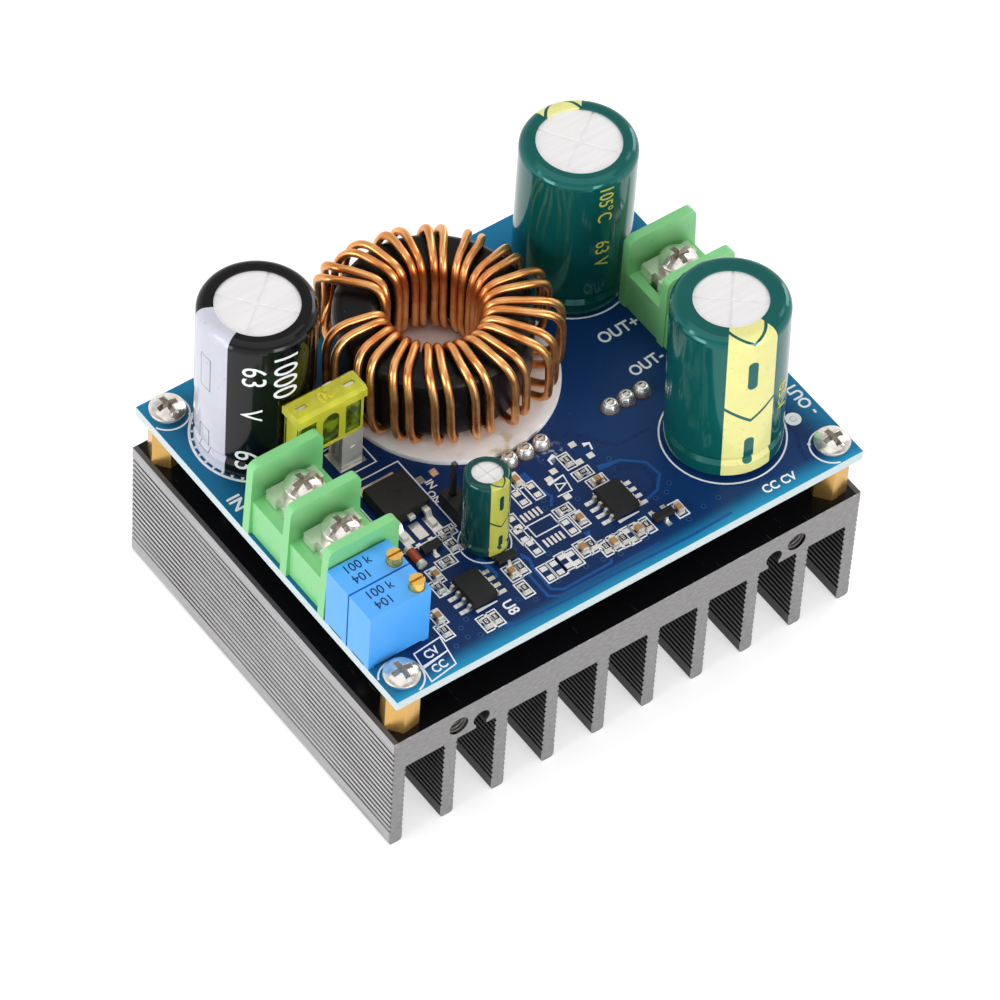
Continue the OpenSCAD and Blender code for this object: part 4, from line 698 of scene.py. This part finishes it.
class Print:
    """Flat marks of one thickness on a level, gathered into one mesh."""

    def __init__(self, level, thickness=PRINT_T):
        self.bm = bmesh.new()
        self.level = level
        self.thickness = thickness

    def strip(self, points, width, closed=False):
        """A line of even width through points."""
        line = [Vector(p).to_2d() for p in points]
        count = len(line)
        rows = []
        for i, point in enumerate(line):
            before = line[i - 1] if i or closed else point
            after = line[(i + 1) % count] if i < count - 1 or closed else point
            into, out = (point - before), (after - point)
            into, out = (into or out).normalized(), (out or into).normalized()
            mid = (into + out).normalized()
            reach = width / 2 / max(SHARPEST, mid.dot(into))
            side = Vector((-mid.y, mid.x)) * reach
            rows.append([self.bm.verts.new((q.x, q.y, h))
                         for h in (self.level, self.level + self.thickness)
                         for q in (point + side, point - side)])
        pairs = list(zip(rows, rows[1:])) + ([(rows[-1], rows[0])] if closed else [])
        for a, b in pairs:
            for k, n in ((0, 1), (1, 3), (3, 2), (2, 0)):
                self.bm.faces.new((a[k], a[n], b[n], b[k]))
        if not closed:
            for row in (rows[0], rows[-1]):
                self.bm.faces.new((row[0], row[1], row[3], row[2]))

    def ring(self, centre, radius, width, steps=64):
        self.strip([on_circle(centre, radius, math.tau * k / steps) for k in range(steps)], width, True)

    def board_ring(self, centre, radius, width, steps=96):
        """A ring, left open where it would pass the board's edge."""
        start = math.atan2(-centre[1], -centre[0])
        edge_room = width * 0.7
        room = (BOARD_HIGH.x - edge_room, BOARD_HIGH.y - edge_room)
        for way in (-1, 1):
            run = []
            for k in range(steps // 2):
                point = on_circle(centre, radius, start + way * math.tau * k / steps)
                if abs(point[0]) > room[0] or abs(point[1]) > room[1]:
                    break
                run.append(point)
            self.strip(run, width)

    def frame(self, low, high, width):
        around = [(low[0], low[1]), (high[0], low[1]), (high[0], high[1]), (low[0], high[1])]
        self.strip(around, width, True)

    def patch(self, points):
        """A filled shape."""
        low = [self.bm.verts.new((p[0], p[1], self.level)) for p in points]
        high = [self.bm.verts.new((p[0], p[1], self.level + self.thickness)) for p in points]
        self.bm.faces.new(low)
        self.bm.faces.new(high)
        for k in range(len(points)):
            n = (k + 1) % len(points)
            self.bm.faces.new((low[k], low[n], high[n], high[k]))

    def plate(self, centre, width, length):
        x, y = centre[0], centre[1]
        w, h = width / 2, length / 2
        self.patch([(x - w, y - h), (x + w, y - h), (x + w, y + h), (x - w, y + h)])

    def disc(self, centre, radius, steps=20):
        self.patch([on_circle(centre, radius, math.tau * k / steps) for k in range(steps)])

    def text(self, words, centre, size, direction=0, narrow=0.92, bold=BOLD):
        mesh = letters(words, size, self.thickness, narrow, bold)
        mesh.transform(Matrix.Translation((centre[0], centre[1], self.level + self.thickness / 2))
                       @ Matrix.Rotation(math.radians(direction), 4, "Z"))
        self.bm.from_mesh(mesh)
        bpy.data.meshes.remove(mesh)

    def piece(self, name, material, slot=None):
        return add_piece(name, mesh_of(name, self.bm), material)


def islands(node):
    """Lowest and highest corner of each separate solid of a CAD node."""
    mesh = NODES[node].data
    places = {}
    rounded = [tuple(round(c / MM, 3) for c in v.co) for v in mesh.vertices]
    number = [places.setdefault(place, len(places)) for place in rounded]
    parent = list(range(len(places)))

    def root(i):
        while parent[i] != i:
            parent[i] = parent[parent[i]]
            i = parent[i]
        return i

    for edge in mesh.edges:
        parent[root(number[edge.vertices[0]])] = root(number[edge.vertices[1]])
    groups = {}
    for place, i in places.items():
        groups.setdefault(root(i), []).append(place)
    return [(Vector(map(min, zip(*g))), Vector(map(max, zip(*g)))) for g in groups.values()]


# Marks on the board: widths, gaps round the parts, and places
LINE = 0.19
CORNER_LINE = LINE * 1.4
RING_LINE, INPUT_RING_LINE, BIAS_RING_LINE = 0.24, 0.36, 0.2
SCREW_RING_R, CAP_RING_GAP, BIAS_RING_GAP = 3.0, 0.5, 0.35
TICKS, TICKS_FROM, TICK_STEP, TICK_LINE = 17, 135, 10, 0.28
TICK_ENDS = (7.2, 8.4)
FRAME_ALONG, FRAME_ACROSS = 0.85, 0.4
EMPTY_HALF_W, EMPTY_HALF_L = 0.75, 1.5
CHIP_LINE_IN, CHIP_LINE_OUT = 0.3, 0.35
# Space from a part to its frame, at its left, front, right and back
FRAMED = {"switch_body": (0.9, 4.2, 1.3, 2.9), "fuse_body": (0.6, 0.9, 1.3, 0.6)}
CONTROL_BOX = [(-31.3, -24.4), (-26.9, -24), (-27.7, -28.7), (-32, -29.35)]
CONTROL_DIVIDER = [(-31.65, -26.9), (-27.4, -26.35)]
EMPTY_IC_LOW, EMPTY_IC_HIGH = (-6.8, -17.5), (-3.0, -15.4)
DIODE_BOX = [(-0.3, -11.3), (2.3, -11.0), (1.8, -13.7), (-0.5, -13.6)]
DIODE_MARK = [(0.3, -12.9), (1.8, -12.3), (0.5, -11.7)]
CORNER_MARKS = [[(7.5, -8.3), (8.4, -8.5), (8.1, -9.6)], [(3.3, -7.6), (2.2, -7.9), (2.2, -8.8)]]
EMPTY_CHIPS = [(-2.2, -18.5), (-6.1, -22.9), (-4.8, -23.1), (3.5, -24.1), (-9.2, -23.2), (-7.6, -23.2),
               (-8.1, -18.7), (-8.3, -16.2), (-7.75, -14.1), (-2.4, -11.0), (-4.7, -11.05)]
SINGLE_PADS = [(6.35, -7.5), (5.4, -10.4), (7.3, -10.3), (0.3, -10.6), (1.6, -9.8), (0.6, -14.3)]
VIAS = [(9, -12.1), (13.1, -19.8), (11.9, -20.9), (10.1, -20.9), (14.5, -25.5), (11.6, -26.2),
        (17, -25.4), (-1.7, -25.4), (0.7, -25.9), (-4.3, -25.1), (5.1, -25.6), (-2.4, -13.1),
        (-3, -14.3), (-10.5, -17.6), (-14.9, -24.6), (-22.4, -23.5), (-23.8, -24.3), (-23.9, -26),
        (-22.3, -26.6), (-26, -26.4), (-13, -25.9), (1.5, -15.3), (-7.1, -20.6), (-8.8, -25)]
TEST_POINT, TEST_PAD_R, TEST_RING_R, TEST_RING_LINE = (33.35, -20.2), 0.45, 0.8, 0.6

# Words, middle, letter size and direction
BOARD_WORDS = [
    ("OUT+", (23.3, 5.1), 2.6, 0),
    ("OUT-", (22.9, -1.7), 2.45, 4),
    ("- OUT", (36.4, -18.0), 2.4, 90),
    ("IN", (-36, 8.9), 2.8, -90),
    ("CV", (-29.3, -25.5), 1.8, 6),
    ("CC", (-29.7, -27.9), 1.8, 6),
    ("U8", (-16.5, -25.1), 2.2, -90),
    ("IN", (-13.1, -2.6), 1.6, -90),
    ("ON", (-14.0, -4.6), 1.5, -90),
    ("CC CV", (25.2, -27.9), 1.9, -2),
]


def round_marks(white):
    """Rings round the screws and capacitors, and ticks on the polarity side of the input one."""
    for low, high in islands("board_screws"):
        white.board_ring((low + high) / 2, SCREW_RING_R, RING_LINE)
    for cap in (FRONT_CAP, BACK_CAP):
        white.ring(cap, CAP_R + CAP_RING_GAP, RING_LINE)
    white.ring(INPUT_CAP, CAP_R + CAP_RING_GAP, INPUT_RING_LINE)
    white.ring(BIAS_CAP, BIAS_R + BIAS_RING_GAP, BIAS_RING_LINE)
    for k in range(TICKS):
        angle = math.radians(TICKS_FROM + TICK_STEP * k)
        white.strip([on_circle(INPUT_CAP, r, angle) for r in TICK_ENDS], TICK_LINE)
    white.ring(TEST_POINT, TEST_RING_R, TEST_RING_LINE, steps=32)


def part_frames(white):
    """Outlines of the parts on the board, also of those that aren't fitted."""
    for node in ("chip_resistors", "chip_capacitors"):
        for low, high in islands(node):
            along_x = high.x - low.x > high.y - low.y
            x, y = (FRAME_ALONG, FRAME_ACROSS) if along_x else (FRAME_ACROSS, FRAME_ALONG)
            white.frame((low.x - x, low.y - y), (high.x + x, high.y + y), LINE)
    for x, y in EMPTY_CHIPS:
        white.frame((x - EMPTY_HALF_W, y - EMPTY_HALF_L), (x + EMPTY_HALF_W, y + EMPTY_HALF_L), LINE)
    for low, high in islands("controller_bodies"):
        for y in (low.y - CHIP_LINE_OUT, high.y + CHIP_LINE_OUT):
            white.strip([(low.x + CHIP_LINE_IN, y), (high.x - CHIP_LINE_IN, y)], LINE)
    for node, (left, front, right, back) in FRAMED.items():
        low, high = corners(node)
        white.frame((low.x - left, low.y - front), (high.x + right, high.y + back), LINE)
    white.frame(EMPTY_IC_LOW, EMPTY_IC_HIGH, LINE)


def silkscreen():
    """White print on the board."""
    white = Print(BOARD_TOP)
    round_marks(white)
    part_frames(white)
    white.strip(CONTROL_BOX, LINE, True)
    white.strip(CONTROL_DIVIDER, LINE)
    white.strip(DIODE_BOX, LINE)
    white.strip(DIODE_MARK, LINE, True)
    for points in CORNER_MARKS:
        white.strip(points, CORNER_LINE)
    for words, centre, size, direction in BOARD_WORDS:
        white.text(words, centre, size, direction)
    white.piece("silkscreen", PRINT_WHITE)


PAD_T = 0.05
# How much wider and longer a pad is than what is soldered on it
PAD_GROWTH = {
    "chip_ends": (0.4, 0.4), "controller_leads": (1.3, 0.2),
    "small_transistor_leads": (0.3, 0.9), "fuse_clips": (0.9, 0.9),
}
# Width and length of the other pads, and their places
CHIP_PAD, CHIP_PAD_AT = (0.95, 0.8), 0.82
SINGLE_PAD = (1.0, 0.9)
EMPTY_IC_PAD, EMPTY_IC_ROWS = (0.36, 1.35), (-14.1, -19.1)
EMPTY_IC_PADS = [-6.4 + 0.65 * k for k in range(5)]
SWITCH_PAD, SWITCH_PAD_IN, SWITCH_TAB_PAD = (1.5, 2.8), 0.5, (5.8, 1.8)
SWITCH_LEADS_AT = (0.16, 0.5, 0.84)
HEADER_PAD, HEADER_PADS = (1.0, 1.2), [(-13.8, -1.3), (-11.6, -1.2)]


def pads():
    """Tinned pads under the small parts and on the bare places between them."""
    tin = Print(BOARD_TOP, PAD_T)
    for node, (wider, longer) in PAD_GROWTH.items():
        for low, high in islands(node):
            tin.plate((low + high) / 2, high.x - low.x + wider, high.y - low.y + longer)
    for x, y in EMPTY_CHIPS:
        for way in (-1, 1):
            tin.plate((x, y + way * CHIP_PAD_AT), *CHIP_PAD)
    for centre in SINGLE_PADS:
        tin.plate(centre, *SINGLE_PAD)
    for row in EMPTY_IC_ROWS:
        for x in EMPTY_IC_PADS:
            tin.plate((x, row), *EMPTY_IC_PAD)
    low, high = corners("switch_leads")
    body_low, body_high = corners("switch_body")
    for share in SWITCH_LEADS_AT:
        x = body_low.x + share * (body_high.x - body_low.x)
        tin.plate((x, low.y + SWITCH_PAD_IN), *SWITCH_PAD)
    tin.plate(((low.x + high.x) / 2, high.y), *SWITCH_TAB_PAD)
    for centre in HEADER_PADS:
        tin.plate(centre, *HEADER_PAD)
    tin.disc(TEST_POINT, TEST_PAD_R)
    tin.piece("solder_pads", MATERIALS["solder"], "solder")


# Thin layers on the board, each a little over the one below it
GAP_T, TRACE_T, VIA_RIM_T, VIA_HOLE_T, FLUX_T = 0.008, 0.012, 0.02, 0.025, 0.04
VIA_RIM_R, VIA_HOLE_R = 0.38, 0.24
TRACE_W, GAP_W = 0.4, 0.6


def vias():
    """Plated holes under the mask, as a rim and a dark disc of painted shade for the hole."""
    rims = Print(BOARD_TOP, VIA_RIM_T)
    holes = Print(BOARD_TOP, VIA_HOLE_T)
    for centre in VIAS:
        rims.disc(centre, VIA_RIM_R)
        holes.disc(centre, VIA_HOLE_R)
    rims.piece("via_rims", TRACE_BLUE)
    # Painted shade: a dark disc stands for the shade inside each hole
    holes.piece("via_hole_shade", MATERIALS["moulded_black"])


TRACES = [
    [(-18.7, -26.9), (-17.6, -27.8), (-9.6, -28.2), (-2, -28.2), (10, -28.6), (17, -28.4)],
    [(-10.5, -18.8), (-9.7, -20), (-10.2, -21.5), (-10.3, -25.6), (-9, -26.5), (-1.2, -26.4),
     (-0.8, -25.9)],
    [(6.8, -12.6), (10.1, -13.1), (12.7, -15.3), (13, -17.9), (11.1, -19.9), (8, -20.7)],
    [(-2.1, -7.8), (-1.7, -10.9), (-1.1, -13.1), (-2.1, -14.4)],
    [(-0.8, -20.4), (-1, -21.6), (-0.5, -23.4)],
    [(-15.2, -16.1), (-14.7, -19.5), (-15.1, -20.1)],
    [(-10.9, -18.8), (-11.3, -21.8), (-11.3, -26.3), (-10, -27.2), (6, -27.3)],
]
GAPS = [
    [(6.4, -5.3), (11.3, -10.8), (16.6, -10.9)],
    [(31.2, -19.8), (32.4, -22.2), (31.0, -24.4), (30.6, -26.8)],
    [(8.8, -13.9), (11.7, -15.1), (12, -17.7), (10.9, -19.3), (8.7, -19.7)],
]


def traces():
    """Copper lines under the mask, and the gaps between copper areas."""
    lines = Print(BOARD_TOP, TRACE_T)
    for points in TRACES:
        lines.strip(points, TRACE_W)
    lines.piece("board_traces", TRACE_BLUE)
    gaps = Print(BOARD_TOP, GAP_T)
    for points in GAPS:
        gaps.strip(points, GAP_W)
    gaps.piece("board_gaps", GAP_BLUE)


def on_side(bm, words, size, turn, radius, height):
    """A word that runs down a capacitor's side, facing the x of the capacitor's own axes."""
    mesh = letters(words, size, PRINT_T * 2, 0.9, 0)
    word = bmesh.new()
    word.from_mesh(mesh)
    bmesh.ops.triangulate(word, faces=word.faces)
    bmesh.ops.subdivide_edges(word, edges=word.edges, cuts=2, use_grid_fill=True)
    for vertex in word.verts:
        down, across, out = vertex.co
        x, y = on_circle((0, 0), radius + out, across / radius)
        vertex.co = turn @ Vector((x, y, height - down))
    word.to_mesh(mesh)
    word.free()
    bm.from_mesh(mesh)
    bpy.data.meshes.remove(mesh)


# Words, letter size, side that they face and height of their middle
INPUT_CAP_WORDS = [("1000", 5.0, 262.5, 20.0), ("63", 4.6, 231.8, 20.4), ("V", 4.2, 230.2, 12.9),
                   ("63", 4.6, 226.9, 3.6)]
BACK_CAP_WORDS = [("105°C", 3.0, 261, 21.6), ("63 V", 3.0, 261, 11.8)]
FRONT_CAP_WORDS = [("63 V", 3.2, 297, 11.5)]
# Words, place from the middle of the trimmer's top, and direction
TRIMMER_WORDS = [("100 k", -1.0, 1.05, 0), ("104", -1.5, -0.75, 180)]
TRIMMER_LETTER = 2.0


def cap_words(bm, words, base, lean=0, toward=0):
    """Words down the side of a large capacitor."""
    for word, size, facing, height in words:
        on_side(bm, word, size, cap_frame(base, lean, toward, facing), CAP_R, height)


def capacitor_print():
    """Ratings on the large capacitors."""
    white = bmesh.new()
    cap_words(white, INPUT_CAP_WORDS, INPUT_CAP)
    add_piece("black_capacitor_print", mesh_of("black_capacitor_print", white), PRINT_WHITE)
    yellow = bmesh.new()
    cap_words(yellow, BACK_CAP_WORDS, BACK_CAP)
    cap_words(yellow, FRONT_CAP_WORDS, FRONT_CAP, FRONT_LEAN, FRONT_LEAN_TO)
    add_piece("green_capacitor_print", mesh_of("green_capacitor_print", yellow), PRINT_YELLOW)


def trimmer_print():
    """Values on top of the trimmers."""
    for name in ("voltage", "current"):
        low, high = corners(f"{name}_trimmer_case")
        code = Print(high.z)
        middle = (low + high) / 2
        for words, x, y, direction in TRIMMER_WORDS:
            centre = (middle.x + x, middle.y + y)
            code.text(words, centre, TRIMMER_LETTER, direction, bold=0)
        code.piece(f"{name}_trimmer_print", PRINT_BLUE)


CHIP_CODES = ("103", "102", "472", "104", "222", "153", "303")
CHIP_LETTER, CHIP_PRINT_T = 0.55, 0.015


def chip_codes():
    """Values on the chip resistors."""
    codes = Print(corners("chip_resistors")[1].z, CHIP_PRINT_T)
    chips = sorted(islands("chip_resistors"), key=lambda box: tuple(box[0]))
    for k, (low, high) in enumerate(chips):
        direction = 0 if high.x - low.x > high.y - low.y else 90
        codes.text(CHIP_CODES[k % len(CHIP_CODES)], (low + high) / 2, CHIP_LETTER, direction)
    codes.piece("chip_codes", PRINT_WHITE)


def lathe(bm, profile, turn, sides=32):
    """A ring turned from a closed line of radii and heights, carried to its place by a matrix."""
    angles = [math.tau * k / sides for k in range(sides)]
    rings = [[bm.verts.new(turn @ Vector((*on_circle((0, 0), r, a), z))) for a in angles]
             for r, z in profile]
    for low, high in zip(rings, rings[1:] + rings[:1]):
        for k in range(sides):
            n = (k + 1) % sides
            bm.faces.new((low[k], low[n], high[n], high[k]))


def hole_threads():
    """Screw threads in the holes of the heatsink's front end, in a dark metal that is painted shade for
    the inside of the holes.
    """
    mount = next(m for m in frame["record"]["mounts"] if m["name"] == "front_end_holes")
    middle = Vector(mount["pos_m"]) / MM
    wall = mount["dims"]["hole_r_mm"] - 0.01
    pitch, depth, crests = 0.5, 0.24, 14
    profile = [(wall, -0.4), (wall, -pitch * crests)]
    for k in range(crests - 1, 0, -1):
        profile += [(wall - 0.02, -pitch * (k + 0.5)), (wall - depth, -pitch * k)]
    bm = bmesh.new()
    for way in (-1, 1):
        place = middle + Vector((way * mount["dims"]["spacing_x_mm"] / 2, 0, 0))
        lathe(bm, profile, Matrix.Translation(place) @ Matrix.Rotation(math.radians(90), 4, "X"))
    add_piece("end_hole_threads", mesh_of("end_hole_threads", bm), THREAD_SHADE)


def flux_films():
    """Thin flux round the power devices' joints."""
    spread = 0.16
    film = Print(BOARD_TOP, FLUX_T)
    for low, high in islands("solder_joints"):
        if low.z > BOARD_TOP - 0.1:
            film.disc((low + high) / 2, (high.x - low.x) / 2 + spread)
    film.piece("flux_films", FLUX)


def fuse_rating():
    """Raised number on top of the fuse."""
    sunk_by, rise, letter = 0.1, 0.28, 2.4
    top = corners("fuse_body")[1].z
    number = Print(top - sunk_by, rise)
    number.text("20", base_of("fuse_body", top), letter, direction=180, narrow=1.0)
    number.piece("fuse_rating", MATERIALS["fuse_yellow"], "fuse_yellow")


def fuse_tips():
    """Ends of the fuse's blades, seen in the slots of its top."""
    tip_l, tip_w, tip_set, sink_in = 1.5, 0.6, 0.35, 0.05
    blade_at = 3.75
    top = corners("fuse_body")[1].z
    start = corners("fuse_element")[1].z - sink_in
    middle = base_of("fuse_body", top)
    tips = Print(start, top - tip_set - start)
    for way in (-1, 1):
        tips.plate((middle.x + way * blade_at, middle.y), tip_l, tip_w)
    tips.piece("fuse_blade_tips", MATERIALS["tinned"], "tinned")


def add_pieces():
    """All that the CAD nodes don't carry."""
    copper_winding()
    fuse_tips()
    traces()
    vias()
    pads()
    flux_films()
    silkscreen()
    capacitor_print()
    trimmer_print()
    chip_codes()
    hole_threads()
    fuse_rating()


# Stage, light and camera

def shown_ray(tree):
    """1 for rays that show the background: from the camera, or mirrored or refracted."""
    rays = tree.nodes.new("ShaderNodeLightPath")
    value = rays.outputs["Is Camera Ray"]
    for name in ("Is Glossy Ray", "Is Transmission Ray"):
        node = tree.nodes.new("ShaderNodeMath")
        node.operation = "MAXIMUM"
        tree.links.new(value, node.inputs[0])
        tree.links.new(rays.outputs[name], node.inputs[1])
        value = node.outputs[0]
    return value


# Floor and lamps are in metres
FLOOR_HALF = 4.0
FLOOR_GREY, FLOOR_LIFT = 0.6, 0.6
SKY_LIGHT = 0.36
# Height of a mirrored direction where the ceiling starts and ends to darken, and its strength at each
CEILING = (0.3, 1.0, 1.0, 0.2)
# Name, place, width, height and watts
LAMPS = [
    ("key_left", (-1.0, 0.05, 0.34), 0.7, 0.6, 7.5),
    ("fill_front", (0.15, -1.05, 0.32), 0.7, 0.5, 7.0),
    ("rim_right", (0.9, 0.25, 0.6), 0.35, 0.8, 3.0),
    ("top", (0.0, 0.05, 1.1), 1.2, 1.2, 4.0),
]
LIT_PLACE = (0, 0, 0.03)


def floor_paint():
    """Pale paint that the camera and mirrors see as white."""
    s = Shader("floor")
    lift = s.math("MULTIPLY", shown_ray(s.tree), FLOOR_LIFT)
    grey = (FLOOR_GREY, FLOOR_GREY, FLOOR_GREY, 1)
    return s.finish(Base_Color=grey, Roughness=0.9, Specular_IOR_Level=0.1,
                    Emission_Color=(1, 1, 1, 1), Emission_Strength=lift)


def make_floor():
    half = FLOOR_HALF
    mesh = bpy.data.meshes.new("floor")
    around = [(-half, -half, 0), (half, -half, 0), (half, half, 0), (-half, half, 0)]
    mesh.from_pydata(around, [], [(0, 1, 2, 3)])
    mesh.materials.append(floor_paint())
    floor = bpy.data.objects.new("floor", mesh)
    bpy.context.scene.collection.objects.link(floor)


def make_world():
    """Even white light, with a darker ceiling where it is mirrored."""
    world = bpy.data.worlds.new("studio")
    bpy.context.scene.world = world
    world.use_nodes = True
    tree = world.node_tree
    background = tree.nodes["Background"]
    coordinates = tree.nodes.new("ShaderNodeTexCoord")
    split = tree.nodes.new("ShaderNodeSeparateXYZ")
    tree.links.new(coordinates.outputs["Generated"], split.inputs[0])
    ceiling = tree.nodes.new("ShaderNodeMapRange")
    for socket, value in zip(ceiling.inputs[1:5], CEILING):
        socket.default_value = value
    tree.links.new(split.outputs[2], ceiling.inputs[0])
    strength = tree.nodes.new("ShaderNodeMix")
    tree.links.new(shown_ray(tree), strength.inputs[0])
    strength.inputs[2].default_value = SKY_LIGHT
    tree.links.new(ceiling.outputs[0], strength.inputs[3])
    tree.links.new(strength.outputs[0], background.inputs["Strength"])
    background.inputs["Color"].default_value = (1, 1, 1, 1)


def softbox(name, place, width, height, power):
    """Soft lamp that faces the part."""
    light = bpy.data.lights.new(name, "AREA")
    light.shape = "RECTANGLE"
    light.size, light.size_y = width, height
    light.energy = power
    lamp = bpy.data.objects.new(name, light)
    bpy.context.scene.collection.objects.link(lamp)
    lamp.location = place
    toward = Vector(LIT_PLACE) - Vector(place)
    lamp.rotation_euler = toward.to_track_quat("-Z", "Y").to_euler()


def make_camera():
    data = bpy.data.cameras.new("camera")
    data.sensor_width = SENSOR
    data.lens = CAMERA_LENS
    data.clip_start, data.clip_end = 0.01, 20
    camera = bpy.data.objects.new("camera", data)
    bpy.context.scene.collection.objects.link(camera)
    camera.location = Vector(CAMERA_PLACE) * MM
    camera.rotation_euler = Euler([math.radians(a) for a in CAMERA_TURN], "XYZ")
    bpy.context.scene.camera = camera


dress_nodes()
add_pieces()
make_floor()
make_world()
for lamp_values in LAMPS:
    softbox(*lamp_values)
make_camera()
bpy.context.scene.view_settings.view_transform = "Standard"
